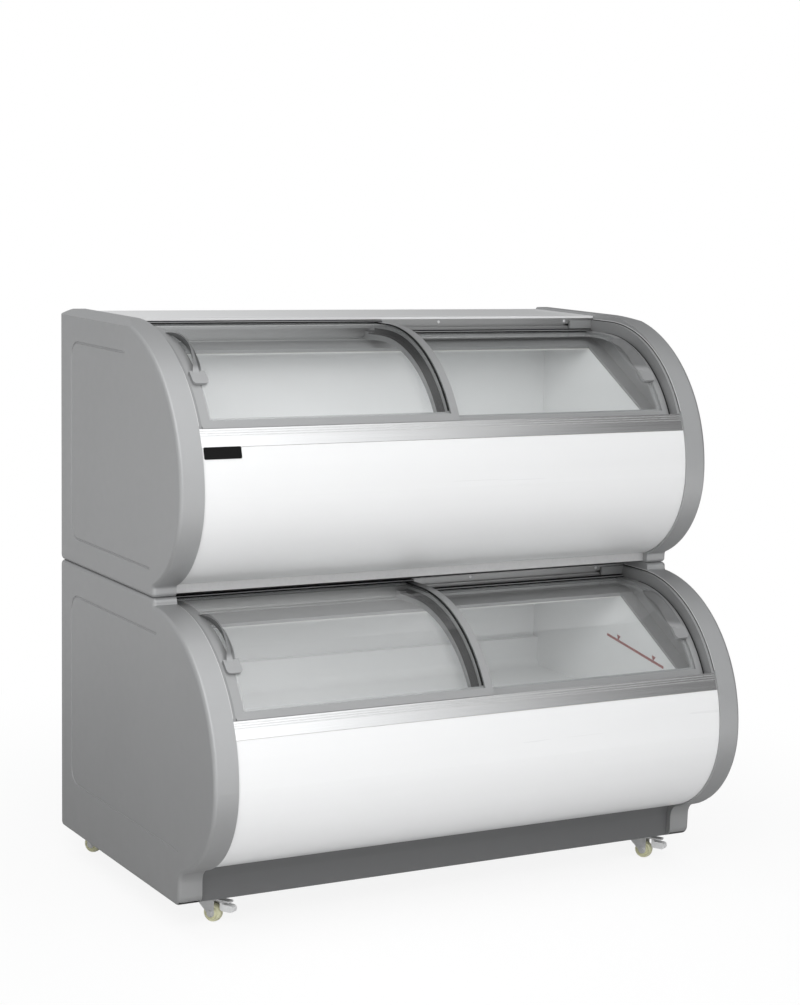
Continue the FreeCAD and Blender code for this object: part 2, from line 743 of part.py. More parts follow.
def insulation(deck):
    """Foam between the tub and the skins, with a pocket for the coil."""
    rim, clear, roof = tub_levels()
    under = collar_under()
    back = skin_back() + FIT - deck.arc[0]
    top = deck.cover - SHEET - FIT - deck.belly
    rail_back = RAIL_FACE - REAR_RAIL_THICK - FIT
    rail_low = min(rear_rail_foot() - FIT, under[0][1] - FIT)
    out = Outline(deck.place(back, insulation_low(deck) - deck.belly))
    out.line(deck.place(back, top), deck.place(rail_back, top), deck.place(rail_back, rail_low))
    out.line(deck.place(RAIL_FACE, rail_low), deck.place(*rim[1]), deck.place(*rim[2]))
    skirt = RAIL_OUTER - RAIL_SKIN
    floor_angle = RAIL_TOP_ANGLE - angle_of(LOW_GROOVE_REACH + RAIL_FLOOR + FIT, skirt)
    out.line(deck.round(RAIL_INNER - FIT, floor_angle), deck.round(skirt - FIT, floor_angle))
    low_angle = RAIL_LOW_ANGLE - angle_of(2 * FIT, skirt)
    out.sweep(deck.arc, skirt - FIT, floor_angle, low_angle)
    behind = FRONT_SET + FRONT_SHEET + FIT
    out.line(deck.round(TOP_RADIUS - behind, low_angle))
    out.sweep(deck.arc, TOP_RADIUS - behind, low_angle, 0)
    low_radius = LOW_RADIUS - behind
    if deck is LOWER:
        end = -math.degrees(math.asin((deck.belly - insulation_low(deck)) / low_radius))
        out.sweep(deck.low, low_radius, 0, end)
    else:
        end = -deck.front_end + angle_of(FRONT_SHEET + FIT, low_radius - FRONT_HEM)
        out.sweep(deck.low, low_radius, 0, end)
        behind_hem = deck.under(low_radius - FRONT_HEM, end)
        pan_front = front_hem(deck)[0] - SHEET - FIT
        out.line(behind_hem, (pan_front, behind_hem[1]), (pan_front, insulation_low(deck)))
    foam = out.prism(-BETWEEN + SIDE_RAIL, BETWEEN - SIDE_RAIL)
    wide = TUB_HALF_WIDTH + TUB_WALL + FIT
    hole = tub_outline(deck, TUB_WALL + FIT, roof + FIT, [(u, v + COLLAR) for u, v in rim])
    low, high, depth = evaporator_box(deck)
    room = EVAPORATOR_TUBE + FIT
    half = EVAPORATOR_HALF + EVAPORATOR_PITCH / 2 + room
    pocket = block(-half, half, depth - 2 * room, depth + FIT + TUB_WALL, low - room, high + room)
    return foam.cut(hole.prism(-wide, wide)).cut(pocket)


def evaporator(deck):
    """Serpentine tube against the back of the tub."""
    low, high, depth = evaporator_box(deck)
    d = depth - EVAPORATOR_TUBE
    points = []
    for n in range(deck.passes):
        z = high - n * EVAPORATOR_PITCH
        side = 1 if n % 2 else -1
        reach = EVAPORATOR_HALF + EVAPORATOR_PITCH / 2
        first = EVAPORATOR_HALF if n == 0 else reach
        last = EVAPORATOR_HALF if n == deck.passes - 1 else reach
        points += [at(side * first, (d, z)), at(-side * last, (d, z))]
    bend = EVAPORATOR_PITCH / 2 - FIT
    return pipe(points, EVAPORATOR_TUBE, bend)


def upper_back_panel():
    """Back sheet of the upper deck, bent forward under it as its floor pan."""
    deck = UPPER
    low = deck.bottom + PAN_RISE
    high = deck.cover - SHEET - FIT
    front, hem = front_hem(deck)
    flange = hem - FIT
    back = FIT
    out = Outline((back, high)).line((back, low), (front, low), (front, flange))
    out.line((front - SHEET, flange), (front - SHEET, low + SHEET))
    out.line((back + SHEET, low + SHEET), (back + SHEET, high))
    return out.prism(-BETWEEN, BETWEEN)


def lower_back_panel():
    """Back sheet of the lower deck, bent forward over its insulation."""
    deck = LOWER
    low = insulation_low(deck)
    top = deck.cover
    front = deck.place(RAIL_FACE, 0)[0]
    back = FIT
    out = Outline((back, low)).line((back, top), (front, top), (front, top - SHEET))
    out.line((back + SHEET, top - SHEET), (back + SHEET, low))
    return out.prism(-BETWEEN, BETWEEN)


def top_panel():
    """Top sheet with a lip down over the rear rail."""
    deck = UPPER
    top = deck.cover
    front = deck.place(RAIL_FACE, 0)[0] + FIT + SHEET
    back = FIT
    out = Outline((back, top)).line((front, top), (front, top - TOP_LIP))
    out.line((front - SHEET, top - TOP_LIP), (front - SHEET, top - SHEET), (back, top - SHEET))
    return out.prism(-BETWEEN, BETWEEN)


def plinth():
    """Kick plate that follows the foot of the end panels."""
    deck = LOWER
    start = -LOWER_FRONT_ANGLE - angle_of(FIT, LOW_RADIUS)
    face = PLINTH_SET
    back = PLINTH_SET + PLINTH_SHEET
    turn = deck.foot_turn
    low = deck.bottom + PLINTH_RISE
    out = Outline(deck.under(LOW_RADIUS - face, start))
    out.sweep(deck.low, LOW_RADIUS - face, start, turn)
    out.sweep(deck.foot_centre, deck.foot_fillet + face, 180 + turn, 180)
    front = deck.foot_front - face
    out.line((front, low), (front - PLINTH_RETURN, low))
    out.line((front - PLINTH_RETURN, low + PLINTH_SHEET))
    out.line((front - PLINTH_SHEET, low + PLINTH_SHEET))
    out.line((front - PLINTH_SHEET, deck.foot_centre[1]))
    out.sweep(deck.foot_centre, deck.foot_fillet + back, 180, 180 + turn)
    out.sweep(deck.low, LOW_RADIUS - back, turn, start)
    return out.prism(-BETWEEN, BETWEEN)


# Heights in the machine compartment
TRAY_LOW = FLOOR_GAP + TRAY_RISE
TRAY_TOP = TRAY_LOW + TRAY_SHEET
TRAY_BACK = FIT + GRILLE_SHEET + FIT
TRAY_FRONT = LOWER.foot_front - PLINTH_SET - PLINTH_SHEET - FIT
GRILLE_LOW = TRAY_LOW
GRILLE_HIGH = insulation_low(LOWER) - FIT
KNOB_Z = TRAY_TOP + KNOB_RISE
GLAND_Z = TRAY_TOP + GLAND_RISE


def base_tray():
    """Steel floor of the machine compartment, with upstanding flanges."""
    tray = block(-BETWEEN, BETWEEN, TRAY_BACK, TRAY_FRONT, TRAY_LOW + FIT, TRAY_LOW + TRAY_FLANGE)
    room = block(-BETWEEN + TRAY_SHEET, BETWEEN - TRAY_SHEET, TRAY_BACK + TRAY_SHEET,
                 TRAY_FRONT - TRAY_SHEET, TRAY_TOP, TRAY_LOW + 2 * TRAY_FLANGE)
    return tray.cut(room)


def slot(length, height, x, z, d0, d1):
    """A round-ended slot through a sheet that faces the back."""
    half = (length - height) / 2
    bar = block(x - half, x + half, d0, d1, z - height / 2, z + height / 2)
    for side in (-1, 1):
        bar = bar.fuse(cylinder_y(height / 2, x + side * half, z, d0, d1))
    return bar


def rear_grille():
    """Louvred cover over the machine compartment."""
    sheet = block(-BETWEEN, BETWEEN, FIT, FIT + GRILLE_SHEET, GRILLE_LOW, GRILLE_HIGH)
    cuts = []
    d0 = FIT - SHEET
    d1 = FIT + GRILLE_SHEET + SHEET
    first = LOUVRE_CENTRE - (LOUVRE_COLUMNS - 1) / 2 * LOUVRE_PITCH_X
    for column in range(LOUVRE_COLUMNS):
        x = first + column * LOUVRE_PITCH_X
        for row in range(LOUVRE_ROWS):
            z = GRILLE_LOW + LOUVRE_LOW + row * LOUVRE_PITCH_Z
            cuts.append(slot(LOUVRE_LENGTH, LOUVRE_HEIGHT, x, z, d0, d1))
    cuts.append(cylinder_y(KNOB_RADIUS + KNOB_HOLE_GAP, CONTROL_X, KNOB_Z, d0, d1))
    cuts.append(cylinder_y(GLAND_RADIUS + FIT, CONTROL_X, GLAND_Z, d0, d1))
    return sheet.cut(Part.makeCompound(cuts))


def revolved(points, origin, axis, across):
    """A solid of revolution. Points are (radius, distance along the axis), straight between."""
    ring = [origin + across * r + axis * h for r, h in points]
    face = Part.Face(Part.makePolygon(ring + ring[:1]))
    return face.revolve(origin, axis, 360)


def compressor_feet():
    """Centres of the four compressor mounts."""
    half_x = COMPRESSOR_PLATE_HALF[0] - MOUNT_INSET
    half_d = COMPRESSOR_PLATE_HALF[1] - MOUNT_INSET
    return [(COMPRESSOR_X + sx * half_x, COMPRESSOR_D + sd * half_d)
            for sx in (-1, 1) for sd in (-1, 1)]


PLATE_LOW = TRAY_TOP + FIT + MOUNT_HEIGHT + FIT


def compressor():
    """Welded steel shell of two domes on a foot plate."""
    base = PLATE_LOW + COMPRESSOR_PLATE
    r = COMPRESSOR_RADIUS
    seam = base + COMPRESSOR_BOWL
    top = seam + COMPRESSOR_DOME
    def spot(radius, z):
        return Vector(COMPRESSOR_X + radius, BACK - COMPRESSOR_D, z)
    k = math.sqrt(0.5)
    bend_low = COMPRESSOR_BOWL / 2
    bend_top = COMPRESSOR_DOME / 2
    edges = [
        Part.LineSegment(spot(0, base), spot(r - bend_low, base)).toShape(),
        Part.Arc(spot(r - bend_low, base), spot(r - bend_low * (1 - k), base + bend_low * (1 - k)),
                 spot(r, base + bend_low)).toShape(),
        Part.LineSegment(spot(r, base + bend_low), spot(r, seam)).toShape(),
        Part.LineSegment(spot(r, seam), spot(r + COMPRESSOR_SEAM, seam)).toShape(),
        Part.LineSegment(spot(r + COMPRESSOR_SEAM, seam),
                         spot(r + COMPRESSOR_SEAM, seam + COMPRESSOR_SEAM)).toShape(),
        Part.LineSegment(spot(r + COMPRESSOR_SEAM, seam + COMPRESSOR_SEAM),
                         spot(r, seam + COMPRESSOR_SEAM)).toShape(),
        Part.LineSegment(spot(r, seam + COMPRESSOR_SEAM), spot(r, top - bend_top)).toShape(),
        Part.Arc(spot(r, top - bend_top), spot(r - bend_top * (1 - k), top - bend_top * (1 - k)),
                 spot(r - bend_top, top)).toShape(),
        Part.LineSegment(spot(r - bend_top, top), spot(0, top)).toShape(),
        Part.LineSegment(spot(0, top), spot(0, base)).toShape(),
    ]
    axis = Vector(0, 0, 1)
    shell = Part.Face(Part.Wire(edges)).revolve(spot(0, base), axis, 360)
    half_x, half_d = COMPRESSOR_PLATE_HALF
    plate = block(COMPRESSOR_X - half_x, COMPRESSOR_X + half_x, COMPRESSOR_D - half_d,
                  COMPRESSOR_D + half_d, PLATE_LOW, base)
    corners = [e for e in plate.Edges if abs(e.BoundBox.ZLength - COMPRESSOR_PLATE) < 1e-6]
    plate = plate.makeFillet(MOUNT_INSET - FIT, corners)
    for x, d in compressor_feet():
        plate = plate.cut(Part.makeCylinder(MOUNT_NECK + FIT, COMPRESSOR_PLATE,
                                            Vector(x, BACK - d, PLATE_LOW)))
    return shell.fuse(plate)


def compressor_mounts():
    """Rubber mounts, each a foot, a neck through the plate and a cap."""
    neck_top = MOUNT_HEIGHT + COMPRESSOR_PLATE + 2 * FIT
    points = [(0, 0), (MOUNT_RADIUS, 0), (MOUNT_RADIUS, MOUNT_HEIGHT), (MOUNT_NECK, MOUNT_HEIGHT),
              (MOUNT_NECK, neck_top), (MOUNT_RADIUS - FIT - MOUNT_CAP, neck_top),
              (MOUNT_NECK, neck_top + MOUNT_CAP), (0, neck_top + MOUNT_CAP)]
    solids = []
    for x, d in compressor_feet():
        origin = Vector(x, BACK - d, TRAY_TOP + FIT)
        solids.append(revolved(points, origin, Vector(0, 0, 1), Vector(1, 0, 0)))
    return Part.makeCompound(solids)


CONDENSER_LOW = TRAY_TOP + FIT
CONDENSER_X0 = CONDENSER_X - CONDENSER_WIDTH / 2
CONDENSER_X1 = CONDENSER_X + CONDENSER_WIDTH / 2


def condenser_rows():
    pitch = CONDENSER_HEIGHT / (CONDENSER_ROWS + 1)
    return [CONDENSER_LOW + (n + 1) * pitch for n in range(CONDENSER_ROWS)]


def condenser():
    """Finned tube block: end plates, fins and one serpentine tube through them."""
    d0 = CONDENSER_D
    d1 = CONDENSER_D + CONDENSER_DEPTH
    z0 = CONDENSER_LOW
    z1 = z0 + CONDENSER_HEIGHT
    plates = [block(CONDENSER_X0, CONDENSER_X0 + CONDENSER_END, d0, d1, z0, z1),
              block(CONDENSER_X1 - CONDENSER_END, CONDENSER_X1, d0, d1, z0, z1)]
    pitch = CONDENSER_WIDTH / (CONDENSER_FINS + 1)
    for n in range(CONDENSER_FINS):
        x = CONDENSER_X0 + (n + 1) * pitch
        plates.append(block(x, x + CONDENSER_FIN, d0, d1, z0 + CONDENSER_TUBE, z1))
    rows = condenser_rows()
    d = d0 + CONDENSER_DEPTH / 2
    reach = (rows[1] - rows[0]) / 2
    points = []
    for n, z in enumerate(rows):
        ends = (CONDENSER_X1 + reach, CONDENSER_X0 - reach)
        if n % 2:
            ends = (ends[1], ends[0])
        points += [at(ends[0], (d, z)), at(ends[1], (d, z))]
    tube = pipe(points, CONDENSER_TUBE, reach - FIT)
    return tube.multiFuse(plates)


FAN_X = CONDENSER_X
FAN_Z = CONDENSER_LOW + CONDENSER_HEIGHT / 2
FAN_D0 = CONDENSER_D + CONDENSER_DEPTH + FAN_GAP
FAN_D1 = FAN_D0 + FAN_DEPTH


def fan_frame():
    """Shroud plate with a round duct, struts and the motor on them."""
    wide = FAN_RADIUS + FAN_TIP_GAP + FAN_RING
    plate = block(CONDENSER_X0, CONDENSER_X1, FAN_D0, FAN_D0 + FAN_PLATE, CONDENSER_LOW,
                  CONDENSER_LOW + CONDENSER_HEIGHT)
    tops = block(CONDENSER_X0, CONDENSER_X1, FAN_D0 - FAN_GAP + FIT, FAN_D0, CONDENSER_LOW
                 + CONDENSER_HEIGHT - FAN_PLATE, CONDENSER_LOW + CONDENSER_HEIGHT)
    ring = cylinder_y(wide, FAN_X, FAN_Z, FAN_D0, FAN_D1)
    duct = cylinder_y(wide - FAN_RING, FAN_X, FAN_Z, FAN_D0 - FAN_GAP, FAN_D1 + FAN_GAP)
    frame = plate.fuse(tops).fuse(ring).cut(duct)
    strut_d = FAN_D1 - FAN_RING
    cross = [block(FAN_X - wide + FIT, FAN_X + wide - FIT, strut_d, FAN_D1,
                   FAN_Z - FAN_STRUT / 2, FAN_Z + FAN_STRUT / 2),
             block(FAN_X - FAN_STRUT / 2, FAN_X + FAN_STRUT / 2, strut_d, FAN_D1,
                   FAN_Z - wide + FIT, FAN_Z + wide - FIT)]
    motor = cylinder_y(FAN_MOTOR, FAN_X, FAN_Z, strut_d, strut_d + FAN_MOTOR_LENGTH)
    shaft = cylinder_y(FAN_SHAFT, FAN_X, FAN_Z, FAN_D0, strut_d + FAN_RING)
    return frame.multiFuse(cross + [motor, shaft])


def blade_section(radius, chord, pitch, middle):
    """One end of a fan blade: a thin slanted rectangle at a radius."""
    a = math.radians(pitch)
    along = Vector(math.cos(a), math.sin(a), 0)
    through = Vector(-math.sin(a), math.cos(a), 0)
    centre = Vector(0, middle, radius)
    corners = []
    for s, t in ((-1, -1), (1, -1), (1, 1), (-1, 1)):
        corners.append(centre + along * (s * chord / 2) + through * (t * FAN_BLADE / 2))
    return Part.makePolygon(corners + corners[:1])


def fan_rotor():
    """Hub with twisted blades, bored for the motor shaft."""
    d0 = FAN_D0 + FAN_PLATE
    d1 = FAN_D1 - FAN_RING - FAN_STRUT / 2
    middle = BACK - (d0 + d1) / 2
    hub = cylinder_y(FAN_HUB, FAN_X, FAN_Z, d0, d1)
    blades = []
    root = blade_section(FAN_HUB - FAN_BLADE, FAN_ROOT_CHORD, FAN_ROOT_ANGLE, middle)
    tip = blade_section(FAN_RADIUS, FAN_TIP_CHORD, FAN_TIP_ANGLE, middle)
    blade = Part.makeLoft([root, tip], True)
    for n in range(FAN_BLADES):
        turn = blade.copy()
        turn.rotate(Vector(0, 0, 0), Vector(0, 1, 0), 360.0 * n / FAN_BLADES)
        turn.translate(Vector(FAN_X, 0, FAN_Z))
        blades.append(turn)
    bore = cylinder_y(FAN_SHAFT + RUN_FIT, FAN_X, FAN_Z, d0 - FAN_GAP, d1 + FAN_GAP)
    return hub.multiFuse(blades).cut(bore)


CONTROL_LOW = TRAY_TOP + FIT


def control_box():
    """Thermostat and wiring box with its shaft and a bushed cord inlet."""
    x0 = CONTROL_X - CONTROL_WIDTH / 2
    x1 = CONTROL_X + CONTROL_WIDTH / 2
    d1 = CONTROL_D + CONTROL_DEPTH
    z1 = CONTROL_LOW + CONTROL_HEIGHT
    box = block(x0, x1, CONTROL_D, d1, CONTROL_LOW, z1)
    upright = [e for e in box.Edges if e.BoundBox.ZLength > CONTROL_HEIGHT / 2]
    box = box.makeFillet(2 * CONTROL_WALL, upright)
    w = CONTROL_WALL
    box = box.cut(block(x0 + w, x1 - w, CONTROL_D + w, d1 - w, CONTROL_LOW + w, z1 - w))
    shaft = cylinder_y(KNOB_SHAFT, CONTROL_X, KNOB_Z, KNOB_SET + KNOB_LENGTH / 2, CONTROL_D + w / 2)
    gland = cylinder_y(GLAND_RADIUS, CONTROL_X, GLAND_Z, FIT, CONTROL_D + w / 2)
    bore = cylinder_y(GLAND_BORE, CONTROL_X, GLAND_Z, -FIT, CONTROL_D + 2 * w)
    return box.fuse(shaft).fuse(gland).cut(bore)


def thermostat_knob():
    """Fluted knob on the thermostat shaft, blind from the outside."""
    end = KNOB_SET + KNOB_LENGTH
    knob = cylinder_y(KNOB_RADIUS, CONTROL_X, KNOB_Z, KNOB_SET, end)
    cuts = [cylinder_y(KNOB_SHAFT + RUN_FIT, CONTROL_X, KNOB_Z, KNOB_SET + KNOB_LENGTH / 2 - FIT,
                       end + FIT)]
    for n in range(KNOB_FLUTES):
        a = 2 * math.pi * n / KNOB_FLUTES
        cuts.append(cylinder_y(KNOB_FLUTE, CONTROL_X + KNOB_RADIUS * math.cos(a),
                               KNOB_Z + KNOB_RADIUS * math.sin(a), KNOB_SET - FIT, end + FIT))
    return knob.cut(Part.makeCompound(cuts))


PIPE_SIDE = CONDENSER_D + CONDENSER_DEPTH / 2
DRIER_X = CONDENSER_X1 + 3 * PIPE_BEND
DRIER_D = PIPE_SIDE + 3 * PIPE_BEND
PIPE_CEILING = insulation_low(LOWER) - FIT
DRIER_LOW = PIPE_CEILING - PIPE_BEND - DRIER_LENGTH


def filter_drier():
    """Copper drier: a capsule drawn down to the pipe at both ends."""
    neck = PIPE_RADIUS + FIT
    points = [(0, 0), (neck, 0), (neck, DRIER_RADIUS), (DRIER_RADIUS, 2 * DRIER_RADIUS),
              (DRIER_RADIUS, DRIER_LENGTH - 2 * DRIER_RADIUS), (neck, DRIER_LENGTH - DRIER_RADIUS),
              (neck, DRIER_LENGTH), (0, DRIER_LENGTH)]
    origin = at(DRIER_X, (DRIER_D, DRIER_LOW))
    return revolved(points, origin, Vector(0, 0, 1), Vector(1, 0, 0))


def refrigerant_lines():
    """Copper lines: hot gas to the condenser, liquid to the drier and two risers into the foam."""
    rows = condenser_rows()
    end_x = CONDENSER_X1 + (rows[1] - rows[0]) / 2 + FIT
    hot_x = DRIER_X + 4 * PIPE_BEND
    shell_z = PLATE_LOW + COMPRESSOR_BOWL + 2 * PIPE_BEND
    shell_gap = COMPRESSOR_RADIUS + FIT
    hot = pipe([at(end_x, (PIPE_SIDE, rows[-1])), at(hot_x, (PIPE_SIDE, rows[-1])),
                at(hot_x, (COMPRESSOR_D, rows[-1])), at(hot_x, (COMPRESSOR_D, shell_z)),
                at(COMPRESSOR_X - shell_gap, (COMPRESSOR_D, shell_z))], PIPE_RADIUS, PIPE_BEND)
    liquid = pipe([at(end_x, (PIPE_SIDE, rows[0])), at(DRIER_X, (PIPE_SIDE, rows[0])),
                   at(DRIER_X, (DRIER_D, rows[0])), at(DRIER_X, (DRIER_D, DRIER_LOW - FIT))],
                  PIPE_RADIUS, PIPE_BEND)
    riser = pipe([at(DRIER_X, (DRIER_D, DRIER_LOW + DRIER_LENGTH + FIT)),
                  at(DRIER_X, (DRIER_D, PIPE_CEILING))], PIPE_RADIUS, PIPE_BEND)
    suction_x = COMPRESSOR_X + shell_gap + 2 * PIPE_BEND
    suction = pipe([at(COMPRESSOR_X + shell_gap, (COMPRESSOR_D, shell_z)),
                    at(suction_x, (COMPRESSOR_D, shell_z)),
                    at(suction_x, (COMPRESSOR_D, PIPE_CEILING))], PIPE_RADIUS, PIPE_BEND)
    return Part.makeCompound([hot, liquid, riser, suction])


def lid_zone(deck, low, high, rear, end):
    """Section of a lid between two radii, from its flat rear part round to an angle."""
    out = Outline(deck.place(rear, low)).line(deck.place(rear, high), deck.place(0, high))
    out.sweep(deck.arc, high, 90, end)
    out.line(deck.round(low, end))
    out.sweep(deck.arc, low, end, 90)
    return out


def lid_frame(deck, top, x0, x1):
    """One lid's frame: rear and lower strips, two stiles and the tongues in the rails."""
    low = top - LID_THICK
    t1 = low + TONGUE
    end = RAIL_TOP_ANGLE + angle_of(LID_RUN_GAP, top)
    reach = RAIL_TOP_ANGLE - angle_of(LOW_TONGUE_REACH, top)
    tail = LID_REAR - TONGUE_REACH
    lip = top + LID_REAR_RISE
    lip_front = LID_REAR + LID_REAR_LIP
    out = Outline(deck.place(LID_REAR, lip)).line(deck.place(lip_front, lip), deck.place(lip_front, top))
    out.line(deck.place(0, top))
    out.sweep(deck.arc, top, 90, end)
    out.line(deck.round(t1, end), deck.round(t1, reach), deck.round(low, reach))
    out.line(deck.round(low, end))
    out.sweep(deck.arc, low, end, 90)
    out.line(deck.place(tail, low), deck.place(tail, t1), deck.place(LID_REAR, t1))
    frame = out.prism(x0, x1)
    rear = LID_REAR + LID_REAR_STRIP
    stop = end + angle_of(LID_LOW_STRIP, top)
    window = lid_zone(deck, low - GLASS, top + GLASS, rear, stop)
    lap = GLASS_LAP + FIT
    seat = top - GLASS_SET - GLASS - FIT
    rebate = lid_zone(deck, seat, top + GLASS, rear - lap, stop - angle_of(lap, top))
    frame = frame.cut(window.prism(x0 + STILE, x1 - STILE))
    return frame.cut(rebate.prism(x0 + STILE - lap, x1 - STILE + lap))


def lid_glass(deck, top, x0, x1):
    """Bent pane, laid in the frame's rebate from outside."""
    end = RAIL_TOP_ANGLE + angle_of(LID_RUN_GAP + LID_LOW_STRIP - GLASS_LAP, top)
    high = top - GLASS_SET
    zone = lid_zone(deck, high - GLASS, high, LID_REAR + LID_REAR_STRIP - GLASS_LAP, end)
    edge = STILE - GLASS_LAP
    return zone.prism(x0 + edge, x1 - edge)


def lid_seal(deck, x1):
    """Rubber fin under the left lid's meeting stile, down to the right lid."""
    low = INNER_LID + SEAL_RUN_GAP
    high = OUTER_LID - LID_THICK - FIT
    end = RAIL_TOP_ANGLE + angle_of(LID_RUN_GAP, low)
    zone = lid_zone(deck, low, high, LID_REAR + LID_REAR_LIP + FIT, end)
    return zone.prism(x1 - STILE + SEAL_BACK, x1 - STILE + SEAL_BACK + SEAL_WIDTH)


def lid_handle(deck, top, end_gap):
    """Handle of a left lid: foot pad and a hooked fin with its scoop towards the end panel."""
    x0 = -LID_SPAN + end_gap
    x1 = x0 + HANDLE_WIDTH
    base = top + FIT
    peak = top + HANDLE_HEIGHT
    pad_top = top + HANDLE_FOOT
    crest = Outline(deck.round(base, HANDLE_TOP_ANGLE))
    crest.arc(deck.round(peak, HANDLE_PEAK_ANGLE), deck.round(pad_top, HANDLE_FOOT_ANGLE))
    crest.line(deck.round(base, HANDLE_FOOT_ANGLE))
    crest.sweep(deck.arc, base, HANDLE_FOOT_ANGLE, HANDLE_TOP_ANGLE)
    arch = crest.prism(x0, x1)
    # Two leaning cones about one radial axis leave the curved fin between them
    middle = (HANDLE_TOP_ANGLE + HANDLE_FOOT_ANGLE) / 2
    chord = math.radians(HANDLE_TOP_ANGLE - HANDLE_FOOT_ANGLE) * base / 2
    radius = (chord ** 2 + HANDLE_SCOOP ** 2) / (2 * HANDLE_SCOOP)
    foot = at(x0 + HANDLE_SCOOP - radius, deck.round(base - HANDLE_HEIGHT, middle))
    head = at(x0 + HANDLE_SCOOP - radius, deck.round(peak + HANDLE_HEIGHT, middle))
    axis = head - foot
    spread = axis.Length / HANDLE_HEIGHT / 2
    lean = HANDLE_LEAN * spread
    taper = (HANDLE_FIN_BASE - HANDLE_FIN_CREST) * spread
    fin_middle = radius + (HANDLE_FIN_BASE + HANDLE_FIN_CREST) / 2
    scoop = Part.makeCone(radius + lean, radius - lean, axis.Length, foot, axis)
    back = Part.makeCone(fin_middle + lean + taper, fin_middle - lean - taper, axis.Length, foot, axis)
    fin = arch.common(back).cut(scoop)
    pad_end = HANDLE_FOOT_ANGLE + angle_of(HANDLE_FOOT, top)
    pad = Outline(deck.round(base, pad_end)).line(deck.round(pad_top, pad_end))
    pad.sweep(deck.arc, pad_top, pad_end, HANDLE_LOW_ANGLE)
    pad.line(deck.round(base, HANDLE_LOW_ANGLE))
    pad.sweep(deck.arc, base, HANDLE_LOW_ANGLE, pad_end)
    foot_pad = pad.prism(x0, x1)
    low_point = at(0, deck.round((base + pad_top) / 2, HANDLE_LOW_ANGLE))
    corners = []
    for edge in foot_pad.Edges:
        middle_point = edge.CenterOfMass
        near = Vector(0, middle_point.y, middle_point.z).distanceToPoint(low_point) < FIT
        if near and edge.BoundBox.XLength < FIT:
            corners.append(edge)
    foot_pad = foot_pad.makeFillet(HANDLE_FOOT_CORNER, corners)
    return foot_pad.fuse(fin)


# Caster heights
AXLE_Z = WHEEL_RADIUS
FRONT_CASTER_D = LOWER.foot_front - FRONT_CASTER_INSET
CASTER_PLATE_LOW = TRAY_LOW - CASTER_PLATE
HEAD_TOP = CASTER_PLATE_LOW - FIT
CROWN_TOP = HEAD_TOP - SWIVEL_HEIGHT
CHEEK_INNER = WHEEL_WIDTH / 2 + WHEEL_GAP
CHEEK_OUTER = CHEEK_INNER + FORK_SHEET
PEDAL_Z = AXLE_Z + PEDAL_PIN_RISE
CASTERS = {
    "front_left": (-FRONT_CASTER_X, FRONT_CASTER_D, FRONT_SWIVEL_ANGLE),
    "front_right": (FRONT_CASTER_X, FRONT_CASTER_D, FRONT_SWIVEL_ANGLE),
    "rear_left": (-REAR_CASTER_X, REAR_CASTER_D, REAR_SWIVEL_ANGLE),
    "rear_right": (REAR_CASTER_X, REAR_CASTER_D, REAR_SWIVEL_ANGLE),
}


def trail_face(points, side):
    """A flat outline in the trail and height plane of a caster, at a sideways place."""
    return Part.Face(Part.makePolygon([Vector(side, -t, z) for t, z in points + points[:1]]))


def caster_fork(braked):
    """Pressed fork under its swivel head, trailing towards -Y, with the axle bolt."""
    t = CASTER_TRAIL
    crown_low = CROWN_TOP - FORK_SHEET
    outline = [(-FORK_TAIL, CROWN_TOP), (t + FORK_NOSE, CROWN_TOP), (t + FORK_EYE, AXLE_Z),
               (t - FORK_EYE, AXLE_Z), (-FORK_TAIL, crown_low - FORK_SHEET)]
    solids = []
    for side in (-CHEEK_OUTER, CHEEK_INNER):
        cheek = trail_face(outline, side).extrude(Vector(FORK_SHEET, 0, 0))
        eye = Part.makeCylinder(FORK_EYE, FORK_SHEET, Vector(side, -t, AXLE_Z), Vector(1, 0, 0))
        solids.append(cheek.fuse(eye))
    crown = Part.makeBox(2 * CHEEK_OUTER, FORK_TAIL + t + FORK_NOSE, FORK_SHEET,
                         Vector(-CHEEK_OUTER, -t - FORK_NOSE, crown_low))
    head = Part.makeCone(CHEEK_OUTER, SWIVEL_HEAD, SWIVEL_HEIGHT, Vector(0, 0, CROWN_TOP))
    pin = Part.makeCylinder(KINGPIN_RADIUS, CASTER_PLATE + FIT, Vector(0, 0, HEAD_TOP - FIT / 2))
    fork = crown.multiFuse(solids + [head, pin])
    if braked:
        fork = fork.fuse(Part.makeCylinder(PEDAL_PIN, 2 * CHEEK_OUTER,
                                           Vector(-CHEEK_OUTER, -t, PEDAL_Z), Vector(1, 0, 0)))
    length = 2 * CHEEK_OUTER
    hole = Part.makeCylinder(AXLE_RADIUS + FIT, length, Vector(-CHEEK_OUTER, -t, AXLE_Z),
                             Vector(1, 0, 0))
    shank = Part.makeCylinder(AXLE_RADIUS, length + 2 * FIT,
                              Vector(-CHEEK_OUTER - FIT, -t, AXLE_Z), Vector(1, 0, 0))
    bolt = shank
    for side in (-1, 1):
        face = Vector(side * (CHEEK_OUTER + FIT), -t, AXLE_Z)
        bolt = bolt.fuse(Part.makeCylinder(AXLE_HEAD, AXLE_HEAD_HEIGHT, face, Vector(side, 0, 0)))
    return Part.makeCompound([fork.cut(hole), bolt])


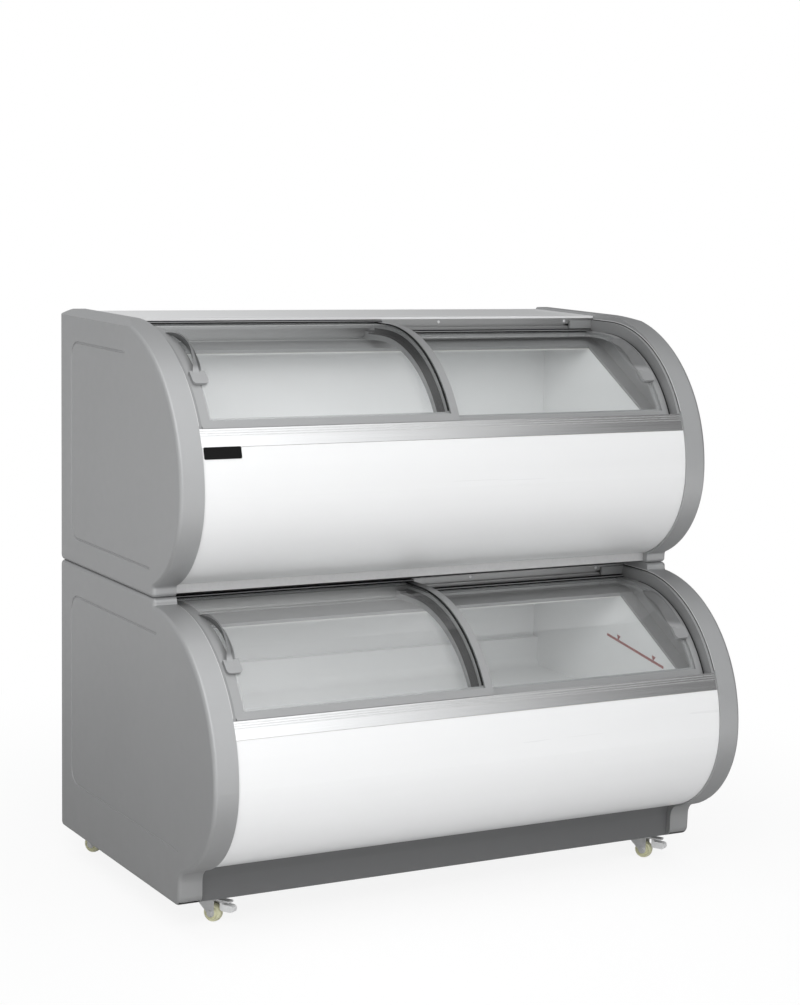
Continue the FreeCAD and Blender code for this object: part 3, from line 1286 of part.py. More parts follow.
def caster_wheel():
    """Crowned wheel with dished sides and a plain bore."""
    half = WHEEL_WIDTH / 2
    bore = AXLE_RADIUS + RUN_FIT
    rim = WHEEL_RADIUS - WHEEL_CROWN
    web = rim - 2 * WHEEL_DISH
    def spot(r, s):
        return Vector(s, -CASTER_TRAIL, AXLE_Z + r)
    side = [(bore, half), (WHEEL_HUB, half), (WHEEL_HUB + WHEEL_DISH, half - WHEEL_DISH),
            (web, half - WHEEL_DISH), (web + WHEEL_DISH, half), (rim, half)]
    right = [spot(r, s) for r, s in side]
    left = [spot(r, -s) for r, s in reversed(side)]
    edges = [Part.LineSegment(a, b).toShape() for a, b in zip(right, right[1:])]
    edges.append(Part.Arc(right[-1], spot(WHEEL_RADIUS, 0), left[0]).toShape())
    edges += [Part.LineSegment(a, b).toShape() for a, b in zip(left, left[1:])]
    edges.append(Part.LineSegment(left[-1], right[0]).toShape())
    return Part.Face(Part.Wire(edges)).revolve(spot(0, 0), Vector(1, 0, 0), 360)


def brake_pedal():
    """Rocker on its cross pin: a flat upper toe and a rounded lower lobe in front of the wheel."""
    t = CASTER_TRAIL
    half = WHEEL_WIDTH / 2
    barrel = Part.makeCylinder(PEDAL_BARREL, 2 * half, Vector(-half, -t, PEDAL_Z), Vector(1, 0, 0))
    arm_low = PEDAL_Z + PEDAL_BARREL - PEDAL_ARM
    arm_high = PEDAL_Z + PEDAL_BARREL
    back = t + PEDAL_LOBE_BACK
    lobe_high = PEDAL_Z - PEDAL_LOBE_DROP
    lobe_low = lobe_high - PEDAL_LOBE_HEIGHT
    arm = [(t, arm_low), (t + PEDAL_TOE_REACH, arm_low), (t + PEDAL_TOE_REACH, arm_high), (t, arm_high)]
    web = [(back, lobe_low + PEDAL_LOBE_ROUND), (back + PEDAL_WEB, lobe_low + PEDAL_LOBE_ROUND),
           (back + PEDAL_WEB, arm_high), (back, arm_high)]
    front = t + PEDAL_LOBE_FRONT
    lobe = [(back, lobe_low), (front, lobe_low), (front, lobe_high), (back, lobe_high)]
    across = Vector(2 * half, 0, 0)
    toe = trail_face(lobe, -half).extrude(across)
    ends = [e for e in toe.Edges if e.BoundBox.XLength > half]
    toe = toe.makeFillet(PEDAL_LOBE_ROUND, ends)
    bore = Part.makeCylinder(PEDAL_PIN + RUN_FIT, 4 * half, Vector(-2 * half, -t, PEDAL_Z),
                             Vector(1, 0, 0))
    pieces = [trail_face(arm, -half).extrude(across), trail_face(web, -half).extrude(across), toe]
    return barrel.multiFuse(pieces).cut(bore)


def at_caster(shape, name):
    """A caster piece turned and moved to its place under the tray."""
    x, d, turn = CASTERS[name]
    moved = shape.copy()
    moved.rotate(Vector(0, 0, 0), Vector(0, 0, 1), turn)
    moved.translate(Vector(x, BACK - d, 0))
    return moved


def caster_plates():
    """Square swivel plates under the tray, bored for the kingpins."""
    solids = []
    h = CASTER_PLATE_HALF
    for x, d, turn in CASTERS.values():
        plate = block(x - h, x + h, d - h, d + h, CASTER_PLATE_LOW, TRAY_LOW)
        corners = [e for e in plate.Edges if e.BoundBox.ZLength > CASTER_PLATE / 2]
        plate = plate.makeFillet(PLATE_CORNER, corners)
        bore = Part.makeCylinder(KINGPIN_RADIUS + RUN_FIT, CASTER_PLATE,
                                 Vector(x, BACK - d, CASTER_PLATE_LOW))
        solids.append(plate.cut(bore))
    return Part.makeCompound(solids)


def cabinet_nodes(deck):
    """The fixed pieces that both decks have."""
    n = deck.name
    panel = end_panel(deck)
    rail = side_rail(deck)
    return {
        n + "_right_end_panel": panel,
        n + "_left_end_panel": mirrored(panel),
        n + "_front_panel": front_panel(deck),
        n + "_front_rail": front_rail(deck),
        n + "_rear_rail": rear_rail(deck),
        n + "_side_rails": Part.makeCompound([rail, mirrored(rail)]),
        n + "_opening_collar": collar(deck),
        n + "_liner": liner(deck),
        n + "_insulation": insulation(deck),
    }


def lid_nodes(deck):
    """The two lids of a deck: frame, pane, handle and the left lid's seal."""
    n = deck.name
    left = (-LID_SPAN, LEFT_LID_LEAD)
    right = (LEFT_LID_LEAD - LID_OVERLAP, LID_SPAN)
    return {
        n + "_left_lid_frame": lid_frame(deck, OUTER_LID, *left),
        n + "_left_lid_glass": lid_glass(deck, OUTER_LID, *left),
        n + "_left_lid_handle": lid_handle(deck, OUTER_LID, HANDLE_END_GAP),
        n + "_left_lid_seal": lid_seal(deck, left[1]),
        n + "_right_lid_frame": lid_frame(deck, INNER_LID, *right),
        n + "_right_lid_glass": lid_glass(deck, INNER_LID, *right),
        n + "_right_lid_handle": mirrored(lid_handle(deck, INNER_LID, INNER_HANDLE_END_GAP)),
    }


def caster_nodes():
    """Forks, wheels and, in front, brake pedals."""
    nodes = {}
    for name in CASTERS:
        braked = name.startswith("front")
        nodes[name + "_caster_fork"] = at_caster(caster_fork(braked), name)
        nodes[name + "_caster_wheel"] = at_caster(caster_wheel(), name)
        if braked:
            nodes[name + "_brake_pedal"] = at_caster(brake_pedal(), name)
    return nodes


def all_nodes():
    nodes = {}
    for deck in (LOWER, UPPER):
        nodes.update(cabinet_nodes(deck))
        nodes.update(lid_nodes(deck))
    nodes["evaporator_coils"] = Part.makeCompound([evaporator(LOWER), evaporator(UPPER)])
    nodes["track_stops"] = track_stops()
    nodes["lower_back_panel"] = lower_back_panel()
    nodes["upper_back_panel"] = upper_back_panel()
    nodes["top_panel"] = top_panel()
    nodes["plinth"] = plinth()
    nodes["base_tray"] = base_tray()
    nodes["rear_grille"] = rear_grille()
    nodes["compressor"] = compressor()
    nodes["compressor_mounts"] = compressor_mounts()
    nodes["condenser"] = condenser()
    nodes["fan_frame"] = fan_frame()
    nodes["fan_rotor"] = fan_rotor()
    nodes["control_box"] = control_box()
    nodes["thermostat_knob"] = thermostat_knob()
    nodes["filter_drier"] = filter_drier()
    nodes["refrigerant_lines"] = refrigerant_lines()
    nodes["caster_plates"] = caster_plates()
    nodes.update(caster_nodes())
    return nodes


os.makedirs("parts", exist_ok=True)
for node, shape in all_nodes().items():
    shape.exportStep("parts/" + node + ".step")
    print(node, len(shape.Solids), shape.isValid(), round(shape.Volume / 1000))
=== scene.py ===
import json
import math

import bmesh
import bpy
from mathutils import Matrix, Vector


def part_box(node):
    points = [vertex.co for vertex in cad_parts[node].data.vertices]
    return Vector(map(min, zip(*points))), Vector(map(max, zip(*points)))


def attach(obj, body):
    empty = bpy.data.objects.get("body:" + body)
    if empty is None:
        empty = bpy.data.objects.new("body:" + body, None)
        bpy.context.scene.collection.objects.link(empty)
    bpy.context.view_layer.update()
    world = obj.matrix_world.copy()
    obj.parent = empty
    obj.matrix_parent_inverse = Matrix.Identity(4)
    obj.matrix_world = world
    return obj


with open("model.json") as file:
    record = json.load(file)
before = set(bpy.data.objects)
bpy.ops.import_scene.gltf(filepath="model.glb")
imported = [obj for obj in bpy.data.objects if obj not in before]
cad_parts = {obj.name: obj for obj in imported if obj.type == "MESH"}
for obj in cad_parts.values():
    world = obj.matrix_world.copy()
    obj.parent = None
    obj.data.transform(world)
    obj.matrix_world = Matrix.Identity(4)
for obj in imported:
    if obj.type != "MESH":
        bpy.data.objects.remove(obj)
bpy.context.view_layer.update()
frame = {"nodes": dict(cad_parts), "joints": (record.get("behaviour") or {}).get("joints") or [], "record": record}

# Sizes of the freezer, in metres, as its solids have them
BACK = 0.416
TOP_RADIUS = 0.326
FRONT_RADIUS = TOP_RADIUS - 0.004
OUTER_LID = TOP_RADIUS - 0.004
INNER_LID = OUTER_LID - 0.025
RAIL_BACKSET = 0.076
RAIL_ANGLE = 25.2
LID_SEAT_GAP = 0.0012
LID_REAR = -RAIL_BACKSET + LID_SEAT_GAP
LID_SPAN = 0.586
LEFT_LID_END = 0.016
STILE = 0.025
REAR_STRIP = 0.020
REAR_LIP = 0.013
REAR_RISE = 0.0045
LID_OVERLAP = 0.038
LOW_STRIP = 0.023
INNER_WALL = 0.553
PANEL_FACE = 0.596
TOE_LEVEL = 0.0468

# Strips bent along the round front: steps of the bend, and the angle at which most of them end
STRIP_STEPS = 24
STRIP_END = RAIL_ANGLE + 1

# Black lines along a lid's rear bar, as offsets in Y and Z from the edges of the bar: a wiper that is partly
# painted shadow of the gap under the lip, and a bead
TRIM_INSET = 0.002
WIPER_AND_SHADOW_LOW = (-0.0006, -0.0005)
WIPER_AND_SHADOW_HIGH = (-0.0010, 0.0009)
WIPER_AND_SHADOW_ROUND = 0.0004
BEAD_LOW = (-0.0032, -0.0004)
BEAD_HIGH = (0.0003, 0.0021)
BEAD_ROUND = 0.0005

# Rubber strips on the lids' stiles and on the right lid's outer edge; the right lid's stile strip is partly
# painted shade
STRIP_SINK = 0.0012
OUTER_STRIP_LAP = 0.0005
OUTER_STRIP_WIDTH = 0.0035
OUTER_STRIP_RISE = 0.0009
INNER_STRIP_MARGIN = 0.0010
INNER_STRIP_RISE = 0.0002
RIM_STRIP_INSET = 0.0030
RIM_STRIP_WIDTH = 0.0028
RIM_STRIP_SINK = 0.0006
RIM_STRIP_RISE = 0.0003

# The left lid's lip
LIP_REACH = 0.0018
LIP_LAP = 0.001
LIP_DEPTH = 0.002
LIP_RISE = 0.0001

# The painted highlight and painted shadow lines on the end panels, as radii, with their width and how far they are
# let in
SHADOW_FOOT = 0.3218
SHADOW_TOP = 0.3240
HIGHLIGHT_TOP = 0.3258
EDGE_SINK = 0.0004
EDGE_WIDTH = 0.0014


class Deck:
    """Where the round front of one cabinet has its centre."""

    def __init__(self, name, depth, belly):
        self.name = name
        self.y = BACK - depth + TOP_RADIUS
        self.z = belly

    def round(self, x, radius, angle):
        """A point on the round front, with the angle in degrees above the belly."""
        a = math.radians(angle)
        return Vector((x, self.y - radius * math.cos(a), self.z + radius * math.sin(a)))


LOWER = Deck("lower", 0.832, 0.345036)
UPPER = Deck("upper", 0.654, 0.907491)


class Value:
    """A shader socket. Arithmetic on it adds Math nodes to its material."""

    def __init__(self, finish, socket):
        self.finish = finish
        self.socket = socket

    def maths(self, operation, a, b):
        return self.finish.add("ShaderNodeMath", {"operation": operation}, {0: a, 1: b})

    def __add__(self, other):
        return self.maths("ADD", self, other)

    def __radd__(self, other):
        return self.maths("ADD", other, self)

    def __rsub__(self, other):
        return self.maths("SUBTRACT", other, self)

    def __mul__(self, other):
        return self.maths("MULTIPLY", self, other)

    def __rmul__(self, other):
        return self.maths("MULTIPLY", other, self)

    def __pow__(self, other):
        return self.maths("POWER", self, other)

    def __gt__(self, other):
        return self.maths("GREATER_THAN", self, other)


class Finish:
    """One material, built node by node."""

    def __init__(self, name, tree=None):
        if tree is None:
            self.material = bpy.data.materials.new(name)
            self.material.use_nodes = True
            tree = self.material.node_tree
        self.tree = tree
        self.tree.nodes.clear()

    def add(self, kind, settings=None, inputs=None, output=0):
        """A node of any type: its settings first, then the values or links of its sockets."""
        node = self.tree.nodes.new(kind)
        for key, value in (settings or {}).items():
            setattr(node, key, value)
        for key, value in (inputs or {}).items():
            if isinstance(value, Value):
                self.tree.links.new(value.socket, node.inputs[key])
            else:
                node.inputs[key].default_value = value
        return Value(self, node.outputs[output]) if node.outputs else None

    def spot(self):
        return self.add("ShaderNodeTexCoord", output="Object")

    def stretched(self, scale):
        return self.add("ShaderNodeMapping", {}, {"Vector": self.spot(), "Scale": scale})

    def grain(self, scale, detail=2.0, stretch=(1.0, 1.0, 1.0)):
        """Soft noise from 0 to 1, with its scale in spots per metre."""
        sockets = {"Vector": self.stretched(stretch), "Scale": scale, "Detail": detail}
        return self.add("ShaderNodeTexNoise", {}, sockets)

    def cells(self, scale, output="Distance"):
        return self.add("ShaderNodeTexVoronoi", {}, {"Vector": self.spot(), "Scale": scale}, output)

    def along(self, axis):
        """One coordinate of the place on the piece, in metres."""
        return self.add("ShaderNodeSeparateXYZ", {}, {0: self.spot()}, axis)

    def faded(self, value, low, high):
        """0 below low, 1 above high and smooth between."""
        return self.add("ShaderNodeMapRange", {"interpolation_type": "SMOOTHSTEP"},
                        {"Value": value, "From Min": low, "From Max": high})

    def mixed(self, factor, a, b):
        """A colour between two."""
        sockets = {0: factor}
        for socket, colour in ((6, a), (7, b)):
            sockets[socket] = colour if isinstance(colour, Value) else (*colour, 1.0)
        return self.add("ShaderNodeMix", {"data_type": "RGBA"}, sockets, 2)

    def rays(self):
        """What the camera sees, straight or through glass, and what shows in gloss."""
        seen = self.add("ShaderNodeLightPath", output="Is Camera Ray")
        through = self.add("ShaderNodeLightPath", output="Is Transmission Ray")
        return seen + through, self.add("ShaderNodeLightPath", output="Is Glossy Ray")

    def bump(self, height, strength, distance):
        sockets = {"Height": height, "Strength": strength, "Distance": distance}
        return self.add("ShaderNodeBump", {}, sockets)

    def shaded(self, **inputs):
        """The Principled surface. Names follow its sockets, with spaces as underscores."""
        sockets = {key.replace("_", " "): value for key, value in inputs.items()}
        for key, value in sockets.items():
            if key == "Base Color" and not isinstance(value, Value):
                sockets[key] = (*value, 1.0)
        return self.add("ShaderNodeBsdfPrincipled", {}, sockets)

    def close(self, surface):
        self.add("ShaderNodeOutputMaterial", {}, {"Surface": surface})
        return self.material


# Blue tint of the mouldings, the colour of the dust and painted shade near the floor, and the heights between
# which it fades out
COOL = 0.006
DUST_AND_SHADE = (0.30, 0.29, 0.27)
DUST_AND_SHADE_FADE = (0.05, 0.30)

# Where the haze on the panes, part frost film and part painted reflection, fades out: towards the top, and left
# and right of the unhazed edge
HAZE_FADE = (1.13, 1.21)
UNHAZED_LEFT = (-0.085, -0.045)
UNHAZED_RIGHT = (0.0, 0.02)


def grey(level, tint=0.0):
    """A grey, a little blue where it has a tint."""
    return (level * (1 - tint), level, level * (1 + tint))


def moulded(name, level, rough, flake=0.0, scoop_shade_heights=None):
    """Satin moulded plastic: fine grain, slow drift of shade and a darker tone near the floor, part dust and part
    painted shade.

    Between two heights a handle's fin and scoop get painted shade, a darker grey.
    """
    f = Finish(name)
    drift = f.grain(2.6, 3.0)
    speck = f.grain(1500.0, 1.0)
    # Dust and painted shade: the mouldings turn darker towards the floor
    dust_and_shade = (1 - f.faded(f.along("Z"), *DUST_AND_SHADE_FADE)) * f.grain(14.0, 4.0)
    tone = f.mixed(drift, grey(level * 0.95, COOL), grey(level * 1.05, COOL))
    tone = f.mixed(speck * 0.10, tone, grey(level * 0.6, COOL))
    tone = f.mixed(dust_and_shade * 0.18, tone, DUST_AND_SHADE)
    wear = f.grain(40.0, 5.0)
    # Painted shade: a handle's fin and scoop turn darker grey above a height, where the scoop's shade falls
    if scoop_shade_heights:
        scoop_shade = f.faded(f.along("Z"), *scoop_shade_heights) * (0.55 + 0.2 * wear)
        tone = f.mixed(scoop_shade, tone, grey(level * 0.3, COOL))
    return f.close(f.shaded(Base_Color=tone, Metallic=flake,
                            Roughness=rough + 0.10 * wear + 0.10 * dust_and_shade,
                            Normal=f.bump(speck, 0.10, 0.0004)))


def painted(name, level, rough, tint=0.0):
    """Stoved paint on sheet steel: orange peel, faint rolling streaks and uneven gloss."""
    f = Finish(name)
    peel = f.grain(260.0, 2.0)
    streak = f.grain(9.0, 3.0, (0.12, 1.0, 6.0))
    tone = f.mixed(streak, grey(level * 0.985, tint), grey(level * 1.01, tint))
    return f.close(f.shaded(Base_Color=tone, Roughness=rough + 0.12 * streak, Coat_Weight=0.25,
                            Coat_Roughness=0.12, Normal=f.bump(peel, 0.05, 0.0006)))


def brushed(name, level, rough):
    """Satin metal with fine drawn lines along X."""
    f = Finish(name)
    line = f.grain(3.0, 4.0, (1.0, 420.0, 420.0))
    broad = f.grain(3.0, 2.0, (0.3, 8.0, 8.0))
    tone = f.mixed(line, grey(level * 0.88), grey(min(level * 1.08, 0.98)))
    return f.close(f.shaded(Base_Color=tone, Metallic=1.0,
                            Roughness=rough + 0.10 * line + 0.06 * broad,
                            Normal=f.bump(line, 0.06, 0.0003)))


def galvanised(name, level):
    """Zinc-coated sheet with its crystal flakes."""
    f = Finish(name)
    flake = f.cells(160.0, "Color")
    spread = f.add("ShaderNodeSeparateColor", {}, {0: flake}, 0)
    tone = f.mixed(spread, grey(level * 0.97), grey(level * 1.03))
    cloud = f.grain(6.0, 4.0)
    return f.close(f.shaded(Base_Color=tone, Metallic=0.6,
                            Roughness=0.40 + 0.05 * spread + 0.1 * cloud))


def plated(name, level):
    """Bright zinc plate on small pressings, a little dulled."""
    f = Finish(name)
    cloud = f.grain(120.0, 4.0)
    tone = f.mixed(cloud, grey(level * 0.85), grey(level * 1.05))
    return f.close(f.shaded(Base_Color=tone, Metallic=0.5, Roughness=0.24 + 0.2 * cloud,
                            Normal=f.bump(f.grain(900.0, 2.0), 0.05, 0.0003)))


def rubbery(name, level):
    """Dull black rubber or lacquer, paler where it has bloomed."""
    f = Finish(name)
    pore = f.grain(1800.0, 2.0)
    bloom = f.grain(20.0, 4.0)
    tone = f.mixed(bloom, grey(level * 0.8), grey(level * 1.5))
    return f.close(f.shaded(Base_Color=tone, Roughness=0.62 + 0.2 * bloom, Specular_IOR_Level=0.12,
                            Normal=f.bump(pore, 0.15, 0.0003)))


def drawn_copper(name):
    """Copper tube with brown tarnish."""
    f = Finish(name)
    tarnish = f.grain(30.0, 5.0)
    tone = f.mixed(tarnish, (0.78, 0.40, 0.24), (0.45, 0.20, 0.11))
    return f.close(f.shaded(Base_Color=tone, Metallic=1.0, Roughness=0.25 + 0.25 * tarnish))


def foamed(name):
    """Rigid foam: a yellow skin over small cells."""
    f = Finish(name)
    cell = f.cells(420.0)
    skin = f.grain(12.0, 4.0)
    tone = f.mixed(skin, (0.80, 0.72, 0.45), (0.70, 0.60, 0.33))
    return f.close(f.shaded(Base_Color=tone, Roughness=0.85 - 0.1 * skin,
                            Normal=f.bump(cell, 0.4, 0.001)))


def unhazed_edge(f):
    """Where the outer panes carry no haze, next to the stile over the middle of the freezer."""
    place = f.along("X")
    return f.faded(place, *UNHAZED_LEFT) * (1 - f.faded(place, *UNHAZED_RIGHT))


def pane(name, haze):
    """Clear bent glass: see-through from above, a mirror at a low angle and a faint white film, part frost and
    part painted reflection.
    """
    f = Finish(name)
    smear = f.grain(5.0, 4.0, (0.4, 1.0, 1.0))
    clear = f.add("ShaderNodeBsdfTransparent", {}, {"Color": (0.972, 0.978, 0.977, 1.0)})
    sheen = f.shaded(Base_Color=f.mixed(smear, grey(0.88), grey(0.95)), Metallic=1.0,
                     Roughness=0.03 + 0.05 * smear)
    facing = f.add("ShaderNodeLayerWeight", {}, {"Blend": 0.5}, "Facing")
    inside = f.add("ShaderNodeNewGeometry", output="Backfacing")
    mirror = (0.10 + 0.78 * facing ** 5 + 0.03 * smear) * (1 - inside)
    glass = f.add("ShaderNodeMixShader", {}, {0: mirror, 1: clear, 2: sheen})
    # Painted reflection: a white diffuse film, partly frost, veils what lies under the glass
    film = f.shaded(Base_Color=f.mixed(smear, grey(0.86), grey(0.92)), Roughness=0.8)
    haze_share = (1 - 0.85 * f.faded(f.along("Z"), *HAZE_FADE)) * (1 - 0.9 * unhazed_edge(f))
    cover = haze * (0.8 + 0.4 * smear) * (1 - inside) * haze_share
    return f.close(f.add("ShaderNodeMixShader", {}, {0: cover, 1: glass, 2: film}))


def pedal(name):
    """Brake rocker: plated toe above, white moulded lobe below."""
    f = Finish(name)
    metal = f.along("Z") > TOE_LEVEL
    scuff = f.grain(220.0, 4.0)
    lobe = f.mixed(scuff, grey(0.80), grey(0.62))
    toe = f.mixed(scuff, grey(0.76), grey(0.6))
    tone = f.mixed(metal, lobe, toe)
    return f.close(f.shaded(Base_Color=tone, Metallic=0.4 * metal, Roughness=0.28 + 0.2 * scuff))


def moulded_white(name, colour, rough=0.28):
    """Smooth white plastic with slow drift and a very fine skin."""
    f = Finish(name)
    drift = f.grain(3.0, 3.0)
    skin = f.grain(500.0, 2.0)
    low = tuple(c * 0.965 for c in colour)
    return f.close(f.shaded(Base_Color=f.mixed(drift, low, colour), Roughness=rough + 0.08 * drift,
                            Normal=f.bump(skin, 0.03, 0.0004)))


def marked(name, colour):
    """Printed line: ink with slightly uneven cover."""
    f = Finish(name)
    cover = f.grain(300.0, 3.0)
    pale = tuple(c * 0.7 + 0.12 for c in colour)
    return f.close(f.shaded(Base_Color=f.mixed(cover * 0.5, colour, pale),
                            Roughness=0.45 + 0.1 * cover))


LID_MOULDING = {"level": 0.37, "rough": 0.34, "flake": 0.55}
FINISHES = {
    "grey_plastic": moulded("grey moulding", 0.445, 0.38, flake=0.65),
    "light_grey_plastic": moulded("lid moulding", **LID_MOULDING),
    "collar_plastic": moulded("collar moulding", 0.30, 0.40, flake=0.4),
    "liner_plastic": moulded_white("tub liner", (0.92, 0.925, 0.925)),
    "foam": foamed("rigid foam"),
    "white_paint": painted("white paint", 0.71, 0.24),
    "grey_paint": painted("top paint", 0.73, 0.28),
    "dark_paint": painted("dark paint", 0.125, 0.34, 0.01),
    "black_paint": painted("compressor paint", 0.02, 0.2),
    "back_steel": galvanised("zinc coated sheet", 0.58),
    "aluminium": brushed("satin aluminium", 0.87, 0.12),
    "glass": pane("inner lid glass", 0.10),
    "rubber": rubbery("black rubber", 0.010),
    "copper": drawn_copper("copper"),
    "black_plastic": moulded("black moulding", 0.028, 0.45),
    "zinc": plated("zinc plate", 0.74),
    "cream_plastic": moulded_white("wheel nylon", (0.70, 0.69, 0.47), 0.32),
    "pedal_plastic": pedal("brake rocker"),
}
DULL_ALUMINIUM = brushed("dull aluminium", 0.40, 0.30)
OUTER_GLASS = pane("outer lid glass", 0.16)
PLATE_LACQUER = rubbery("plate lacquer", 0.006)
RED_INK = marked("red ink", (0.30, 0.02, 0.015))
WHITE_INK = marked("white ink", (0.75, 0.75, 0.75))

# A lid handle's unshaded share of height, from below, and the fade from there into the painted shade on its fin
# and scoop
UNSHADED_SHARE = 0.30
SCOOP_SHADE_FADE = 0.012


def finish_of(node, slot):
    """A node's finish. Outer panes, rear rails and lid handles differ from the rest of their slot; the handles
    carry painted shade on the fin and scoop.
    """
    # Outer panes: a thicker film of frost and painted reflection
    if node.endswith("left_lid_glass"):
        return OUTER_GLASS
    if node.endswith("rear_rail"):
        return DULL_ALUMINIUM
    if node.endswith("lid_handle"):
        low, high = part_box(node)
        unshaded_top = low.z + UNSHADED_SHARE * (high.z - low.z)
        # Handles: painted shade on the fin and scoop above the pad
        return moulded(node.replace("_", " "), scoop_shade_heights=(unshaded_top, unshaded_top + SCOOP_SHADE_FADE), **LID_MOULDING)
    return FINISHES[slot]


for part in frame["record"]["subparts"]:
    shown = frame["nodes"][part["node"]]
    shown.data.materials.clear()
    shown.data.materials.append(finish_of(part["node"], part["material_slot"]))


def bar(bm, low, high, turn=Matrix()):
    """A box between two corners, then turned. Returns its vertices."""
    low = Vector(low)
    high = Vector(high)
    size = Matrix.Diagonal((*(high - low), 1.0))
    place = Matrix.Translation((low + high) / 2)
    return bmesh.ops.create_cube(bm, size=1.0, matrix=turn @ place @ size)["verts"]


def rounded_bar(bm, low, high, radius, segments=2, turn=Matrix()):
    """A bar with all its edges rounded."""
    verts = bar(bm, low, high, turn)
    edges = {e for v in verts for e in v.link_edges}
    bmesh.ops.bevel(bm, geom=list(edges), offset=radius, affect="EDGES", segments=segments,
                    profile=0.5, material=-1)


def finished(name, bm, body, slot, material=None):
    """Makes a piece of what a bmesh holds, and lets it ride on a body."""
    bmesh.ops.remove_doubles(bm, verts=bm.verts, dist=1e-6)
    bmesh.ops.recalc_face_normals(bm, faces=bm.faces)
    mesh = bpy.data.meshes.new(name)
    bm.to_mesh(mesh)
    bm.free()
    made = bpy.data.objects.new(name, mesh)
    bpy.context.scene.collection.objects.link(made)
    mesh.materials.append(material or FINISHES[slot])
    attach(made, body)


def bent_strip(bm, deck, x, low, high, width, rear, end):
    """A strip that follows a lid from its flat rear part round to an angle."""
    corners = [(x, low), (x + width, low), (x + width, high), (x, high)]
    face = bm.faces.new([bm.verts.new((cx, deck.y - rear, deck.z + r)) for cx, r in corners])
    if rear < 0:
        grown = bmesh.ops.extrude_face_region(bm, geom=[face])["geom"]
        moved = [g for g in grown if isinstance(g, bmesh.types.BMVert)]
        bmesh.ops.translate(bm, verts=moved, vec=(0, rear, 0))
        face = [g for g in grown if isinstance(g, bmesh.types.BMFace)][0]
    geom = [face] + list(face.edges) + list(face.verts)
    bmesh.ops.spin(bm, geom=geom, cent=(0, deck.y, deck.z), axis=(1, 0, 0),
                   angle=math.radians(90 - end), steps=STRIP_STEPS, use_merge=False)


def lid_trims(deck, side):
    """Black rubber on one lid: two lines along the rear bar, and strips on the stile and the edge. The upper line
    is partly painted shadow of the gap, and the right lid's wide stile strip is partly painted shade.
    """
    left = side == "left"
    top = OUTER_LID if left else INNER_LID
    x0 = -LID_SPAN if left else LEFT_LID_END - LID_OVERLAP
    x1 = LEFT_LID_END if left else LID_SPAN
    bm = bmesh.new()
    rear = deck.y - LID_REAR
    foot = deck.z + top
    lip = foot + REAR_RISE
    front = rear - REAR_LIP
    begin = x0 + TRIM_INSET
    finish = x1 - TRIM_INSET
    # Wiper, partly painted shadow: a black line where the gap under the lip lies in shade
    low = (begin, front + WIPER_AND_SHADOW_LOW[0], lip + WIPER_AND_SHADOW_LOW[1])
    high = (finish, rear + WIPER_AND_SHADOW_HIGH[0], lip + WIPER_AND_SHADOW_HIGH[1])
    rounded_bar(bm, low, high, WIPER_AND_SHADOW_ROUND)
    low = (begin, front + BEAD_LOW[0], foot + BEAD_LOW[1])
    high = (finish, front + BEAD_HIGH[0], foot + BEAD_HIGH[1])
    rounded_bar(bm, low, high, BEAD_ROUND)
    pane_rear = LID_REAR + REAR_STRIP
    pane_end = RAIL_ANGLE + math.degrees((LID_SEAT_GAP + LOW_STRIP) / top)
    sunk = top - STRIP_SINK
    if left:
        bent_strip(bm, deck, x1 - STILE - OUTER_STRIP_LAP, sunk, top + OUTER_STRIP_RISE,
                   OUTER_STRIP_WIDTH, pane_rear, pane_end)
    else:
        # Partly seal, partly painted shade: a black strip across the whole stile, darkening it under the left
        # lid's glass
        bent_strip(bm, deck, x0 + INNER_STRIP_MARGIN, sunk, top + INNER_STRIP_RISE,
                   STILE - 2 * INNER_STRIP_MARGIN, pane_rear, pane_end)
        bent_strip(bm, deck, x1 - RIM_STRIP_INSET, top - RIM_STRIP_SINK, top + RIM_STRIP_RISE,
                   RIM_STRIP_WIDTH, 0.0, STRIP_END)
    lid = deck.name + "_" + side + "_lid"
    finished(lid + "_trim", bm, lid, "rubber")


def lid_lip(deck):
    """A thin lip on the left lid's outer edge, which closes the gap to the side rail."""
    bm = bmesh.new()
    bent_strip(bm, deck, -LID_SPAN - LIP_REACH, OUTER_LID - LIP_DEPTH, OUTER_LID + LIP_RISE,
               LIP_REACH + LIP_LAP, LID_REAR, STRIP_END)
    finished(deck.name + "_left_lid_lip", bm, deck.name + "_left_lid", "light_grey_plastic")


for cabinet in (LOWER, UPPER):
    lid_lip(cabinet)
    for hand in ("left", "right"):
        lid_trims(cabinet, hand)


def painted_edge_lines(deck):
    """A bright zinc strip as painted highlight over a black rubber strip as painted shadow, on the inner face of
    each end panel, along the round front.
    """
    # Painted highlight and shadow: the bright strip stands for the glint on the panel's edge, the dark one for the
    # shadow in the seam
    strips = (("painted_edge_lines", "zinc", SHADOW_TOP, HIGHLIGHT_TOP), ("painted_edge_shadows", "rubber", SHADOW_FOOT, SHADOW_TOP))
    for name, slot, low, high in strips:
        bm = bmesh.new()
        for x in (-PANEL_FACE - EDGE_SINK, PANEL_FACE + EDGE_SINK - EDGE_WIDTH):
            bent_strip(bm, deck, x, low, high, EDGE_WIDTH, LID_REAR, STRIP_END)
        finished(deck.name + "_" + name, bm, "cabinet", slot)


for cabinet in (LOWER, UPPER):
    painted_edge_lines(cabinet)


# Places of screws, and the radius and height of their heads
RAIL_SCREWS = (-0.515, -0.171, 0.171, 0.515)
RAIL_SCREW_DROP = 0.0015
RAIL_HEAD = (0.0036, 0.0008)
BACK_SCREWS = (-0.38, -0.2, 0.2, 0.38)
SIDE_MARGIN = 0.018
END_MARGIN = 0.022
TOP_MARGIN = 0.012
BACK_HEAD = (0.0042, 0.0016)
BOLT_SPREAD = 0.0185
BOLT_HEAD = (0.0040, 0.0022)

